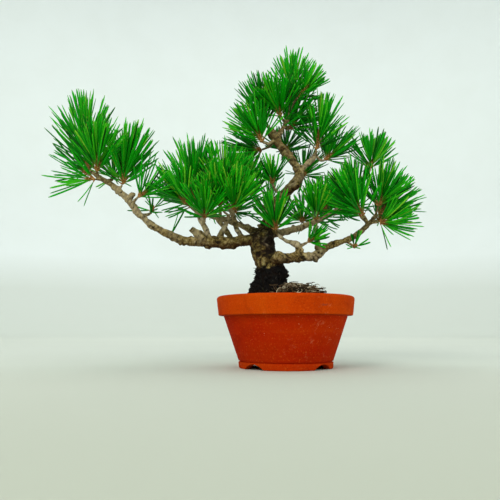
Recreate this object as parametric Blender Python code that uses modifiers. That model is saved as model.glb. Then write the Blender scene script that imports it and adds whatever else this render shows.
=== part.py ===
"""A pine bonsai in a round unglazed pot: the tree's wood, its tufts of needles, soil, moss and drainage.

The sizes below are millimetres. MM turns them into Blender's metres where a shape is made.
X runs along the tree's long side, Y from front to back, Z up. The pot's axis is the working
axis, and the last step moves everything so that the origin is under the middle of the whole model.
"""

import math
import random

import bmesh
import bpy
import numpy as np
from mathutils import Vector

MM = 0.001
GAP = 0.3  # left between pieces that touch

# ---- pot: one fired piece ----
POT_DIAMETER = 150.0  # over the rim
POT_HEIGHT = 75.5
RIM_BAND_HEIGHT = 20.8
RIM_OVERHANG = 6.0  # how far the rim band stands out from the wall under it
RIM_EDGE_RADIUS = 3.0
RIM_BAND_TAPER = 2.0
WALL_SLOPE = 0.342  # radius gained per millimetre of height
WALL_THICKNESS = 6.2
RIM_LIP_WIDTH = 7.0
FLOOR_THICKNESS = 6.0
FOOT_HEIGHT = 6.7
FOOT_WIDTH = 7.5
NOTCH_WIDTH = 26.0
NOTCH_HEIGHT = 5.6
NOTCH_COUNT = 4
DRAIN_HOLE_DIAMETER = 22.0
ROUND_STEPS = 40

# ---- drainage net and its wire clip ----
NET_SIZE = 36.0
NET_CELLS = 5  # an odd number, so that one row runs across the middle
NET_THREAD = 1.0
CLIP_WIRE_DIAMETER = 1.2
CLIP_TAIL = 9.0  # bent out under the pot's floor

# ---- soil and top dressing ----
SOIL_BELOW_RIM = 7.5  # at the wall
SOIL_MOUND = 12.0  # how much higher it is in the middle
MOSS_CENTRE = (20.0, -14.0)
MOSS_HALF_SIZE = (27.0, 30.0)
MOSS_THICKNESS = 8.5

# ---- tree ----
WOOD_GIRTH = 1.0  # multiplies every radius of the wood
NEEDLE_SCALE = 1.0  # multiplies the length of every needle
NEEDLE_RADIUS = 0.85
SHOOT_RADIUS = 2.1
TWIG_RADIUS = 2.0
TWIG_TIP_RADIUS = 1.4
TAPROOT_DEPTH = 30.0  # how far the root stub reaches below the soil's surface

# Routes of the wood: x, y, height above the pot's rim, radius.
BRANCHES = {
    "trunk": [
        (-17, 2, 12, 18.5),
        (-16, 2, 21, 17.4),
        (-15, 2, 29, 16.2),
        (-18, 2, 38, 14.2),
        (-22, 2, 46, 14.0),
        (-24, 2, 55, 14.3),
        (-24, 3, 64, 13.8),
        (-21, 5, 72, 10.0),
        (-19, 6, 78, 5.5),
    ],
    "left": [
        (-27, 2, 65, 8.0),
        (-38, 0, 63, 6.4),
        (-51, -4, 61, 5.9),
        (-64, -7, 58, 6.2),
        (-77, -8, 59, 6.3),
        (-89, -8, 61, 5.5),
        (-103, -8, 60, 4.7),
        (-115, -10, 62, 4.4),
        (-128, -12, 68, 4.1),
        (-141, -14, 74, 3.8),
        (-153, -15, 83, 3.6),
        (-163, -15, 93, 3.7),
        (-172, -14, 105, 3.5),
        (-182, -12, 115, 3.5),
        (-194, -10, 125, 3.3),
        (-206, -9, 132, 2.7),
        (-217, -8, 140, 2.3),
    ],
    "right": [
        (-18, -4, 41, 7.4),
        (-9, -11, 41, 6.5),
        (3, -14, 41, 5.7),
        (16, -14, 42, 4.9),
        (28, -12, 43, 4.7),
        (36, -10, 46, 5.2),
        (45, -7, 53, 3.7),
        (56, -3, 59, 3.4),
        (69, 1, 63, 3.4),
        (82, 4, 70, 3.2),
        (92, 6, 79, 2.9),
        (100, 7, 87, 2.5),
    ],
    "leader": [
        (-24, 5, 64, 9.5),
        (-20, 12, 80, 8.0),
        (-12, 16, 97, 7.0),
        (-4, 17, 113, 6.4),
        (5, 15, 124, 6.0),
        (16, 12, 135, 5.4),
        (20, 10, 146, 5.2),
    ],
    "crown_left": [
        (20, 10, 145, 5.0),
        (12, 8, 156, 4.6),
        (3, 5, 167, 4.6),
        (-6, 3, 178, 4.9),
        (-11, 2, 187, 5.1),
        (-15, 2, 194, 4.9),
    ],
    "crown_right": [
        (20, 10, 145, 4.4),
        (27, 12, 154, 3.5),
        (34, 13, 161, 3.1),
        (38, 13, 167, 2.7),
    ],
    "apex": [
        (-7, 3, 183, 3.4),
        (-1, 2, 194, 2.9),
        (4, 1, 204, 2.5),
        (7, 0, 216, 2.2),
    ],
    "left_fork_a": [
        (-75, -8, 59, 3.6),
        (-69, -8, 72, 2.9),
        (-64, -10, 82, 2.7),
        (-62, -14, 88, 2.4),
    ],
    "left_fork_b": [
        (-82, -8, 60, 3.8),
        (-88, -9, 75, 3.0),
        (-93, -8, 85, 2.8),
        (-98, -8, 94, 2.6),
    ],
    "left_fork_c": [
        (-57, -3, 60, 3.4),
        (-64, 6, 74, 2.9),
        (-76, 13, 90, 2.6),
        (-81, 12, 100, 2.3),
    ],
    "left_fork_d": [
        (-46, -3, 62, 3.4),
        (-53, 2, 76, 2.9),
        (-58, -1, 92, 2.5),
        (-61, -5, 100, 2.3),
    ],
    "back_right": [
        (-20, 10, 72, 6.0),
        (-8, 22, 75, 4.8),
        (7, 31, 80, 4.2),
        (24, 37, 86, 3.8),
        (44, 36, 94, 3.4),
        (64, 31, 104, 3.1),
        (80, 25, 118, 2.8),
        (93, 20, 134, 2.5),
    ],
    "back_left": [
        (-26, 8, 70, 6.0),
        (-36, 22, 78, 5.0),
        (-52, 32, 88, 4.2),
        (-74, 38, 97, 3.6),
        (-98, 40, 104, 3.0),
    ],
    "back": [
        (-20, 12, 88, 5.0),
        (-18, 28, 100, 4.0),
        (-14, 42, 112, 3.2),
    ],
    "front_upright": [
        (13, -14, 42, 3.8),
        (15, -14, 50, 4.0),
        (12, -14, 56, 3.5),
        (2, -15, 59, 2.1),
        (-6, -17, 64, 1.9),
    ],
    "right_upright": [
        (37, -10, 49, 3.3),
        (36, -11, 58, 2.8),
        (34, -12, 67, 2.5),
        (34, -12, 74, 2.3),
    ],
    "pruned_left": [
        (-84, -8, 60, 4.6),
        (-92, -12, 66, 4.3),
        (-103, -17, 73, 3.8),
    ],
    "pruned_leader": [
        (4, 15, 124, 4.4),
        (11, 9, 126, 4.2),
        (18, 3, 129, 3.8),
    ],
    "pruned_outer": [
        (-172, -14, 105, 3.0),
        (-167, -18, 112, 2.6),
    ],
}
ROOTS = [(20, 13.0), (100, 11.0), (185, 12.0), (265, 12.0)]  # bearing in degrees, reach in mm

# Shoots: the branch each springs from, then where it starts, its direction, its length and
# the length of its needles.
SHOOTS = {
    "left": [
        ((-220, -8, 143), (-0.12, 0.0, 1.0), 36, 54),
        ((-206, -22, 136), (0.1, -0.4, 0.9), 15, 46),
        ((-180, -12, 124), (0.15, -0.1, 1.0), 22, 50),
        ((-159, -26, 106), (0.75, -0.35, 0.45), 9, 42),
        ((-208, -22, 127), (-0.9, -0.4, -0.05), 7, 45),
        ((-227, 8, 142), (-0.6, 0.5, 0.6), 9, 46),
        ((-196, 8, 138), (-0.2, 0.8, 0.6), 14, 44),
        ((-150, 6, 98), (-0.1, 0.8, 0.6), 12, 42),
    ],
    "left_fork_b": [
        ((-108, -16, 102), (-0.7, -0.3, 0.65), 8, 45),
        ((-101, -6, 107), (-0.1, 0.1, 1.0), 24, 54),
        ((-87, -24, 84), (0.1, -0.8, 0.5), 9, 42),
    ],
    "left_fork_a": [
        ((-56, -27, 92), (0.25, -0.7, 0.65), 9, 42),
        ((-70, -24, 98), (-0.1, -0.5, 0.85), 12, 42),
    ],
    "left_fork_c": [
        ((-84, 8, 112), (-0.05, 0.2, 1.0), 18, 52),
    ],
    "left_fork_d": [
        ((-68, -12, 114), (0.15, -0.25, 0.95), 14, 48),
        ((-47, 2, 112), (0.0, 0.2, 1.0), 14, 46),
    ],
    "back_left": [
        ((-74, 22, 116), (0.0, 0.4, 0.9), 10, 44),
        ((-110, 44, 112), (-0.6, 0.4, 0.6), 10, 44),
        ((-88, 54, 114), (-0.1, 0.8, 0.6), 9, 42),
        ((-58, 46, 106), (0.1, 0.8, 0.6), 9, 42),
    ],
    "leader": [
        ((-13, 0, 129), (-0.1, -0.6, 0.8), 6, 30),
        ((26, 38, 150), (0.3, 0.7, 0.6), 9, 42),
    ],
    "back": [
        ((-34, 28, 122), (-0.2, 0.4, 0.9), 9, 44),
        ((-12, 54, 124), (0.1, 0.8, 0.6), 9, 42),
    ],
    "front_upright": [
        ((-11, -21, 71), (-0.1, -0.4, 0.9), 9, 38),
        ((24, -20, 58), (0.8, -0.5, 0.4), 5, 24),
    ],
    "crown_left": [
        ((-24, -6, 176), (-0.5, -0.1, 0.9), 15, 42),
        ((-20, -2, 202), (-0.25, -0.1, 1.0), 14, 46),
        ((-25, 14, 174), (-0.9, 0.3, 0.05), 8, 40),
        ((4, 30, 180), (0.2, 0.8, 0.55), 10, 42),
    ],
    "apex": [
        ((9, 0, 223), (0.05, 0.0, 1.0), 27, 50),
        ((17, -6, 230), (0.7, -0.15, 0.75), 16, 34),
        ((8, 14, 200), (0.6, 0.35, 0.7), 13, 48),
        ((-4, -8, 206), (-0.3, -0.5, 0.8), 12, 42),
    ],
    "crown_right": [
        ((39, 8, 172), (0.2, -0.05, 1.0), 29, 44),
        ((50, 16, 162), (0.7, 0.2, 0.65), 12, 44),
    ],
    "back_right": [
        ((103, 16, 152), (0.25, 0.25, 0.9), 9, 38),
        ((51, 30, 102), (0.0, 0.15, 1.0), 10, 38),
        ((70, 50, 110), (0.3, 0.8, 0.5), 9, 42),
        ((26, 54, 96), (0.1, 0.8, 0.6), 9, 40),
    ],
    "right_upright": [
        ((34, -14, 84), (-0.1, -0.6, 0.8), 8, 36),
    ],
    "right": [
        ((83, 2, 100), (-0.2, -0.15, 0.95), 14, 46),
        ((86, -16, 88), (-0.65, -0.25, 0.7), 18, 48),
        ((108, 4, 94), (0.75, 0.1, 0.65), 17, 44),
        ((104, -12, 81), (0.95, -0.3, -0.05), 7, 40),
        ((104, -10, 100), (0.2, -0.25, 0.9), 11, 44),
        ((112, 26, 92), (0.7, 0.6, 0.4), 9, 40),
        ((74, -12, 55), (0.7, -0.5, -0.5), 4, 20),
    ],
}

OBJECT_NAME = "pine_bonsai_in_pot"
SEED = 7

random_source = random.Random(SEED)


# ---------------------------------------------------------------- scene and helpers


def clear_scene():
    for obj in list(bpy.data.objects):
        bpy.data.objects.remove(obj, do_unlink=True)


def new_collection(name):
    collection = bpy.data.collections.new(name)
    bpy.context.scene.collection.children.link(collection)
    return collection


def new_material(name, colour, roughness, metallic=0.0):
    material = bpy.data.materials.new(name)
    material.use_nodes = True
    shader = material.node_tree.nodes["Principled BSDF"]
    shader.inputs["Base Color"].default_value = (*colour, 1.0)
    shader.inputs["Roughness"].default_value = roughness
    shader.inputs["Metallic"].default_value = metallic
    material.diffuse_color = (*colour, 1.0)
    return material


def add_object(name, mesh, collection, material=None):
    obj = bpy.data.objects.new(name, mesh)
    collection.objects.link(obj)
    if material:
        mesh.materials.append(material)
    return obj


def hide_helper(obj):
    obj.hide_render = True
    obj.display_type = "WIRE"


def evaluated_mesh(obj):
    """The object's mesh with its modifiers worked in, as a new mesh."""
    bpy.context.view_layer.update()
    graph = bpy.context.evaluated_depsgraph_get()
    return bpy.data.meshes.new_from_object(obj.evaluated_get(graph))


def smooth(mesh, sharp_degrees=50):
    mesh.shade_smooth()
    mesh.set_sharp_from_angle(angle=math.radians(sharp_degrees))


def arc(centre, radius, start, end, count):
    """Points (r, z) along an arc of a profile, with its angles in degrees."""
    angles = [math.radians(start + (end - start) * i / count) for i in range(count + 1)]
    return [(centre[0] + radius * math.cos(a), centre[1] + radius * math.sin(a)) for a in angles]


def turned(name, profile, steps, closed, collection, material):
    """A profile of (r, z) points, outer side first and top to bottom, turned about Z."""
    mesh = bpy.data.meshes.new(name)
    shape = bmesh.new()
    points = [shape.verts.new((r * MM, 0.0, z * MM)) for r, z in profile]
    last = len(points) if closed else len(points) - 1
    for i in range(last):
        shape.edges.new((points[i], points[(i + 1) % len(points)]))
    shape.to_mesh(mesh)
    shape.free()
    obj = add_object(name, mesh, collection, material)
    screw = obj.modifiers.new("turn", "SCREW")
    screw.axis = "Z"
    screw.steps = steps
    screw.render_steps = steps
    screw.use_merge_vertices = True
    screw.merge_threshold = 0.00001
    return obj


def cut(obj, cutter):
    boolean = obj.modifiers.new("cut_" + cutter.name, "BOOLEAN")
    boolean.operation = "DIFFERENCE"
    boolean.solver = "EXACT"
    boolean.object = cutter


def smooth_route(points, pieces):
    """A smooth curve through the points, with a few steps between each two of them."""
    data = np.array(points, float)
    ends = np.vstack([2 * data[0] - data[1], data, 2 * data[-1] - data[-2]])
    route = []
    for i in range(1, len(ends) - 2):
        before, here, after, beyond = ends[i - 1], ends[i], ends[i + 1], ends[i + 2]
        for step in range(pieces):
            t = step / pieces
            route.append(
                0.5 * (2 * here + (after - before) * t)
                + 0.5 * (2 * before - 5 * here + 4 * after - beyond) * t**2
                + 0.5 * (3 * here - before - 3 * after + beyond) * t**3
            )
    route.append(data[-1])
    return np.array(route)


def tube(name, route, sides, collection):
    """A mesh tube along rows of x, y, z, radius, with closed ends."""
    curve = bpy.data.curves.new(name, "CURVE")
    curve.dimensions = "3D"
    curve.bevel_depth = MM
    curve.bevel_resolution = (sides - 4) // 2
    curve.use_fill_caps = True
    spline = curve.splines.new("POLY")
    spline.points.add(len(route) - 1)
    for point, (x, y, z, radius) in zip(spline.points, route):
        point.co = (x * MM, y * MM, z * MM, 1.0)
        point.radius = radius
    guide = bpy.data.objects.new(name + "_guide", curve)
    collection.objects.link(guide)
    mesh = evaluated_mesh(guide)
    bpy.data.objects.remove(guide, do_unlink=True)
    shape = bmesh.new()
    shape.from_mesh(mesh)
    bmesh.ops.remove_doubles(shape, verts=shape.verts, dist=0.00001)
    bmesh.ops.recalc_face_normals(shape, faces=shape.faces)
    shape.to_mesh(mesh)
    shape.free()
    mesh.name = name
    return add_object(name, mesh, collection)


# ---------------------------------------------------------------- pot


def wall_radius(height):
    """Outer radius of the pot's wall at a height."""
    under_rim = POT_DIAMETER / 2 - RIM_BAND_TAPER - RIM_OVERHANG
    return under_rim - (POT_HEIGHT - RIM_BAND_HEIGHT - height) * WALL_SLOPE


def inside_radius(height):
    """Radius of the pot's hollow at a height above its floor."""
    floor_top = FOOT_HEIGHT + FLOOR_THICKNESS
    low = wall_radius(floor_top) - WALL_THICKNESS
    high = POT_DIAMETER / 2 - RIM_LIP_WIDTH
    return low + (high - low) * (height - floor_top) / (POT_HEIGHT - floor_top)


def pot_profile():
    top = POT_HEIGHT
    rim = POT_DIAMETER / 2
    band_bottom = top - RIM_BAND_HEIGHT
    floor_top = FOOT_HEIGHT + FLOOR_THICKNESS
    foot = wall_radius(FOOT_HEIGHT)
    foot_inside = foot - FOOT_WIDTH
    hole = DRAIN_HOLE_DIAMETER / 2
    edge = RIM_EDGE_RADIUS
    profile = arc((rim - edge, top - edge), edge, 90, 0, 4)
    profile += arc((rim - RIM_BAND_TAPER - 1.5, band_bottom + 1.5), 1.5, 0, -90, 2)
    profile += [(wall_radius(band_bottom), band_bottom - 1.0)]
    profile += [(wall_radius(FOOT_HEIGHT + 1.2), FOOT_HEIGHT + 1.2)]
    profile += [(foot - 0.8, FOOT_HEIGHT + 0.5), (foot + 0.5, FOOT_HEIGHT - 0.4)]
    profile += arc((foot - 1.0, 1.0), 1.0, 0, -90, 2)
    profile += [(foot_inside, 0.0), (foot_inside - 0.6, FOOT_HEIGHT)]
    profile += [(hole + 1.0, FOOT_HEIGHT), (hole, FOOT_HEIGHT + 1.0)]
    profile += [(hole, floor_top - 1.0), (hole + 1.0, floor_top)]
    profile += [(inside_radius(floor_top) - 4.0, floor_top)]
    profile += [(inside_radius(floor_top + 1.5) - 1.5, floor_top + 1.5)]
    profile += [(inside_radius(floor_top + 5.0), floor_top + 5.0)]
    inner = inside_radius(top)
    profile += [(inside_radius(top - 2.0), top - 2.0), (inner + 1.2, top)]
    return profile


def make_pot(parts, helpers):
    clay = new_material("terracotta", (0.50, 0.13, 0.05), 0.85)
    pot = turned("pot", pot_profile(), ROUND_STEPS, True, parts, clay)
    foot = wall_radius(FOOT_HEIGHT)
    arch = (NOTCH_WIDTH**2 / 4 + NOTCH_HEIGHT**2) / (2 * NOTCH_HEIGHT)
    for i in range(NOTCH_COUNT):
        bearing = math.radians(360 * (i + 0.5) / NOTCH_COUNT)
        shape = bmesh.new()
        bmesh.ops.create_cone(
            shape,
            cap_ends=True,
            segments=40,
            radius1=arch * MM,
            radius2=arch * MM,
            depth=3 * FOOT_WIDTH * MM,
        )
        mesh = bpy.data.meshes.new(f"notch_{i}")
        shape.to_mesh(mesh)
        shape.free()
        notch = add_object(f"notch_{i}", mesh, helpers)
        reach = foot - FOOT_WIDTH / 2
        notch.location = (
            reach * math.cos(bearing) * MM,
            reach * math.sin(bearing) * MM,
            (NOTCH_HEIGHT - arch) * MM,
        )
        notch.rotation_euler = (0.0, math.pi / 2, bearing)
        hide_helper(notch)
        cut(pot, notch)
    smooth_whole(pot)
    return pot


def smooth_whole(obj):
    """Works the modifiers into the mesh and shades it smooth."""
    mesh = evaluated_mesh(obj)
    for modifier in list(obj.modifiers):
        obj.modifiers.remove(modifier)
    mesh.name = obj.name
    obj.data = mesh
    smooth(mesh)


# ---------------------------------------------------------------- drainage


def make_drainage(parts):
    plastic = new_material("black_net", (0.02, 0.02, 0.02), 0.6)
    net_height = FOOT_HEIGHT + FLOOR_THICKNESS + GAP + NET_THREAD / 2
    shape = bmesh.new()
    bmesh.ops.create_grid(
        shape, x_segments=NET_CELLS, y_segments=NET_CELLS, size=NET_SIZE / 2 * MM
    )
    mesh = bpy.data.meshes.new("drainage_net")
    shape.to_mesh(mesh)
    shape.free()
    net = add_object("drainage_net", mesh, parts, plastic)
    net.location = (0.0, 0.0, net_height * MM)
    threads = net.modifiers.new("threads", "WIREFRAME")
    threads.thickness = NET_THREAD * MM
    threads.use_boundary = True
    threads.use_even_offset = False

    wire = new_material("aluminium_wire", (0.30, 0.20, 0.12), 0.4, 1.0)
    radius = CLIP_WIRE_DIAMETER / 2
    cell = NET_SIZE / NET_CELLS
    leg = cell  # the legs go down through the middle of two cells
    over = net_height + NET_THREAD + GAP + radius
    under = FOOT_HEIGHT - GAP - radius
    half = [
        (0.0, over),
        (leg - 1.0, over),
        (leg, over - 1.2),
        (leg, under + 1.2),
        (leg + 1.0, under),
        (leg + CLIP_TAIL, under),
    ]
    places = [(-x, z) for x, z in reversed(half[1:])] + half
    route = [(x, 0.0, z, radius) for x, z in places]
    clip = tube("net_clip", route, 6, parts)
    clip.data.materials.append(wire)
    return leg


# ---------------------------------------------------------------- soil and moss


def soil_height(distance):
    """Height of the soil's surface at a distance from the pot's axis."""
    wall = POT_HEIGHT - SOIL_BELOW_RIM
    share = min(1.0, distance / inside_radius(wall))
    return wall + SOIL_MOUND * (1 - share * share)


def soil_profile():
    wall_top = POT_HEIGHT - SOIL_BELOW_RIM
    bottom = FOOT_HEIGHT + FLOOR_THICKNESS + NET_THREAD * 2 + CLIP_WIRE_DIAMETER + 3 * GAP + 0.3
    corner = 6.0
    side_gap = GAP + 0.15  # the facets of a turned surface lie a little inside its circle
    outer = inside_radius(wall_top) - side_gap
    profile = [(0.0, soil_height(0.0))]
    profile += [(outer * i / 6, soil_height(outer * i / 6)) for i in range(1, 6)]
    profile += [(outer, wall_top)]
    profile += [(inside_radius(bottom + corner) - side_gap, bottom + corner)]
    profile += [(inside_radius(bottom) - side_gap - corner, bottom)]
    profile += [(0.0, bottom)]
    return profile


def make_soil(parts, root_cutter):
    earth = new_material("bonsai_soil", (0.06, 0.045, 0.03), 1.0)
    soil = turned("soil", soil_profile(), ROUND_STEPS, False, parts, earth)
    cut(soil, root_cutter)
    return soil


def make_moss(parts, root_cutter):
    """A low lumpy patch that follows the soil's surface beside the trunk."""
    green = new_material("dry_moss", (0.16, 0.11, 0.05), 1.0)
    mesh = bpy.data.meshes.new("moss")
    shape = bmesh.new()
    bmesh.ops.create_uvsphere(shape, u_segments=18, v_segments=10, radius=1.0)
    for vertex in shape.verts:
        across = vertex.co.x
        along = vertex.co.y
        rise = max(0.0, vertex.co.z)
        x = MOSS_CENTRE[0] + across * MOSS_HALF_SIZE[0]
        y = MOSS_CENTRE[1] + along * MOSS_HALF_SIZE[1]
        lump = 1.0 - 0.45 * across + 0.12 * math.sin(5 * across + 1) * math.cos(4 * along)
        height = soil_height(math.hypot(x, y)) + 0.25 + GAP
        vertex.co = (x * MM, y * MM, (height + rise * MOSS_THICKNESS * lump) * MM)
    shape.to_mesh(mesh)
    shape.free()
    moss = add_object("moss", mesh, parts, green)
    cut(moss, root_cutter)
    return moss


# ---------------------------------------------------------------- wood


def lifted(points):
    """Route points with heights measured from the rim, as heights above the ground."""
    return [(x, y, z + POT_HEIGHT, radius * WOOD_GIRTH) for x, y, z, radius in points]


def trunk_route():
    """The trunk, with the root stub under it."""
    foot = BRANCHES["trunk"][0]
    surface = soil_height(math.hypot(foot[0], foot[1])) - POT_HEIGHT
    stub = [
        (foot[0] + 1, foot[1], surface - TAPROOT_DEPTH, 8.0),
        (foot[0], foot[1], surface - TAPROOT_DEPTH * 0.55, 14.0),
        (foot[0], foot[1], surface, foot[3] * 1.08),
    ]
    return lifted(stub + BRANCHES["trunk"])


def root_routes():
    foot = BRANCHES["trunk"][0]
    surface = soil_height(math.hypot(foot[0], foot[1])) - POT_HEIGHT
    for bearing, reach in ROOTS:
        along = Vector((math.cos(math.radians(bearing)), math.sin(math.radians(bearing)), 0))
        stations = [(0.55, 10, 7.0), (1.0, 1.5, 5.0), (1.35, -7, 3.4)]
        points = []
        for share, rise, radius in stations:
            out = (foot[3] + (reach - foot[3]) * 0.3) * share
            points.append((foot[0] + along.x * out, foot[1] + along.y * out, surface + rise, radius))
        yield lifted(points)


def bud_place(place):
    return np.array([place[0], place[1], place[2] + POT_HEIGHT], float)


def twig_route(branch, place, direction):
    """From the nearest point of the branch to just below the shoot, ending in line with it."""
    bud = bud_place(place)
    nearest = branch[np.argmin(np.linalg.norm(branch[:, :3] - bud, axis=1))]
    span = np.linalg.norm(bud - nearest[:3])
    end = bud - direction * GAP * 1.3
    bend = end - direction * span * 0.45
    start_radius = min(nearest[3] * 0.8, TWIG_RADIUS * WOOD_GIRTH * (1 + span / 120))
    count = max(2, int(span / 12))
    rows = []
    for i in range(count + 1):
        t = i / count
        place_on = (1 - t) ** 2 * nearest[:3] + 2 * t * (1 - t) * bend + t * t * end
        radius = start_radius + (TWIG_TIP_RADIUS * WOOD_GIRTH - start_radius) * t
        rows.append((*place_on, radius))
    return rows


def joined(name, pieces, collection):
    """One closed solid from tubes that run into each other."""
    union = add_object(name, pieces[0].data, collection)
    operands = bpy.data.collections.new(name + "_pieces")
    bpy.context.scene.collection.children.link(operands)
    for piece in pieces[1:]:
        operands.objects.link(piece)
    boolean = union.modifiers.new("join", "BOOLEAN")
    boolean.operation = "UNION"
    boolean.solver = "EXACT"
    boolean.operand_type = "COLLECTION"
    boolean.collection = operands
    boolean.use_self = True
    mesh = evaluated_mesh(union)
    union.modifiers.clear()
    mesh.name = name
    union.data = mesh
    for piece in pieces:
        bpy.data.objects.remove(piece, do_unlink=True)
    bpy.data.collections.remove(operands)
    shape = bmesh.new()
    shape.from_mesh(mesh)
    bmesh.ops.remove_doubles(shape, verts=shape.verts, dist=0.00002)
    bmesh.ops.triangulate(shape, faces=shape.faces)
    keep_main_body(shape)
    shape.to_mesh(mesh)
    shape.free()
    return union


def keep_main_body(shape):
    """Drops the slivers that a union can leave hanging on by a corner."""
    waiting = set(shape.faces)
    bodies = []
    while waiting:
        body = [waiting.pop()]
        for face in body:
            beside = {other for edge in face.edges for other in edge.link_faces} & waiting
            waiting -= beside
            body.extend(beside)
        bodies.append(body)
    bodies.sort(key=len)
    slivers = [face for body in bodies[:-1] for face in body]
    bmesh.ops.delete(shape, geom=slivers, context="FACES")


def make_wood(parts, helpers):
    bark = new_material("pine_bark", (0.16, 0.09, 0.05), 0.95)
    routes = {"trunk": smooth_route(trunk_route(), 2)}
    for name, points in BRANCHES.items():
        if name != "trunk":
            routes[name] = smooth_route(lifted(points), 2)
    pieces = [tube("piece_trunk", routes["trunk"], 14, helpers)]
    for name, route in routes.items():
        if name != "trunk":
            pieces.append(tube("piece_" + name, route, 8, helpers))
    for i, route in enumerate(root_routes()):
        pieces.append(tube(f"piece_root_{i}", route, 8, helpers))
    wood_rows = [np.array(route) for route in routes.values()]
    for branch, shoots in SHOOTS.items():
        for i, (place, direction, _, _) in enumerate(shoots):
            heading = np.array(direction) / np.linalg.norm(direction)
            route = twig_route(routes[branch], place, heading)
            pieces.append(tube(f"piece_twig_{branch}_{i}", route, 6, helpers))
            wood_rows.append(np.array(route))
    wood = joined("trunk_and_branches", pieces, parts)
    wood.data.materials.clear()
    wood.data.materials.append(bark)
    smooth(wood.data)
    return wood, wood_rows


def make_root_cutter(helpers):
    """The buried wood, one gap fatter: it leaves the hollow that the soil and moss keep round it."""
    pieces = []
    routes = [trunk_route()] + list(root_routes())
    for i, route in enumerate(routes):
        fatter = [(x, y, z, radius + GAP + 0.2) for x, y, z, radius in smooth_route(route, 2)]
        fatter[0] = (*(np.array(fatter[0][:3]) - (0, 0, GAP + 0.2)), fatter[0][3])
        if i:
            fatter = lengthened(fatter, GAP + 0.3)
        sides = 8 if i else 14
        pieces.append(tube(f"cutter_{i}", fatter, sides, helpers))
    cutter = joined("root_cutter", pieces, helpers)
    hide_helper(cutter)
    return cutter


def lengthened(route, extra):
    """The same route with its last point moved further along."""
    rows = np.array(route)
    step = rows[-1, :3] - rows[-2, :3]
    rows[-1, :3] += step / np.linalg.norm(step) * extra
    return rows


# ---------------------------------------------------------------- needles


def segment_distances(start, end, starts, ends):
    """Least distance from one segment to each of many."""
    first = end - start
    others = ends - starts
    between = start - starts
    a = first @ first
    e = np.einsum("ij,ij->i", others, others)
    f = np.einsum("ij,ij->i", others, between)
    c = between @ first
    b = others @ first
    denominator = a * e - b * b
    safe = np.where(denominator > 1e-9, denominator, 1.0)
    s = np.where(denominator > 1e-9, np.clip((b * f - c * e) / safe, 0, 1), 0.0)
    t = np.clip((b * s + f) / e, 0, 1)
    s = np.clip((b * t - c) / a, 0, 1)
    gap = between + s[:, None] * first - t[:, None] * others
    return np.linalg.norm(gap, axis=1)


class Space:
    """The stretches that are already taken, each with a radius and an owner."""

    def __init__(self):
        self.starts = []
        self.ends = []
        self.radii = []
        self.owners = []

    def take(self, start, end, radius, owner):
        self.starts.append(start)
        self.ends.append(end)
        self.radii.append(radius)
        self.owners.append(owner)

    def is_free(self, start, end, radius, owner):
        """True where a stretch stays clear of everything that belongs to others."""
        others = np.array(self.owners) != owner
        starts = np.array(self.starts)[others]
        ends = np.array(self.ends)[others]
        radii = np.array(self.radii)[others]
        return bool((segment_distances(start, end, starts, ends) > radii + radius + 2 * GAP).all())


def across_axes(direction):
    """Two directions square to this one and to each other."""
    side = np.cross(direction, (0.0, 1.0, 0.0) if abs(direction[1]) < 0.9 else (1.0, 0.0, 0.0))
    side /= np.linalg.norm(side)
    return side, np.cross(direction, side)


def needle_heading(local, heading, sides):
    """The way a needle points, from where it leaves the shoot: forward near the tip, wide below."""
    height = max(-1.0, min(1.0, local.z))
    lean = math.radians(46 - 32 * height + random_source.uniform(-9, 9))
    bearing = math.atan2(local.y, local.x) + random_source.uniform(-0.25, 0.25)
    out = math.cos(bearing) * sides[0] + math.sin(bearing) * sides[1]
    return math.cos(lean) * heading + math.sin(lean) * out


def make_tuft(name, shoot, space, parts, material):
    """A scaly shoot with needles all round it, grown only where nothing else is."""
    place, direction, shoot_length, needle_length = shoot
    heading = np.array(direction) / np.linalg.norm(direction)
    sides = across_axes(heading)
    bud = bud_place(place)
    centre = bud + heading * shoot_length / 2
    shape = bmesh.new()
    bmesh.ops.create_icosphere(shape, subdivisions=1, radius=1.0)
    faces = sorted(shape.faces, key=lambda face: face.calc_center_median().z)
    headings = {}
    for face in faces[5:]:
        headings[face] = face.calc_center_median().normalized()
    for vertex in shape.verts:
        local = np.array(vertex.co)
        turned_place = centre + heading * local[2] * shoot_length / 2
        turned_place += (sides[0] * local[0] + sides[1] * local[1]) * SHOOT_RADIUS
        vertex.co = Vector(turned_place) * MM
    for face, local in headings.items():
        root = np.array(face.calc_center_median()) / MM
        for attempt in range(24):
            way = needle_heading(local, heading, sides)
            reach = needle_length * NEEDLE_SCALE * random_source.uniform(0.86, 1.0) * 0.97**attempt
            tip = root + way * reach
            if space.is_free(root + way * 3.0, tip, NEEDLE_RADIUS, name):
                space.take(root, tip, NEEDLE_RADIUS, name)
                grow_needle(shape, face, root, tip)
                break
    mesh = bpy.data.meshes.new(name)
    shape.to_mesh(mesh)
    shape.free()
    add_object(name, mesh, parts, material)


def grow_needle(shape, face, root, tip):
    """Draws one face of the shoot out into a needle."""
    base = bmesh.ops.extrude_discrete_faces(shape, faces=[face])["faces"][0]
    centre = Vector(root) * MM
    for vertex in base.verts:
        away = vertex.co - centre
        vertex.co = centre + away.normalized() * NEEDLE_RADIUS * MM
    bmesh.ops.poke(shape, faces=[base])
    newest = max(shape.verts, key=lambda vertex: vertex.index)
    for vertex in shape.verts:
        if (vertex.co - centre).length < 0.00002 and len(vertex.link_edges) == 3:
            newest = vertex
    newest.co = Vector(tip) * MM


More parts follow.
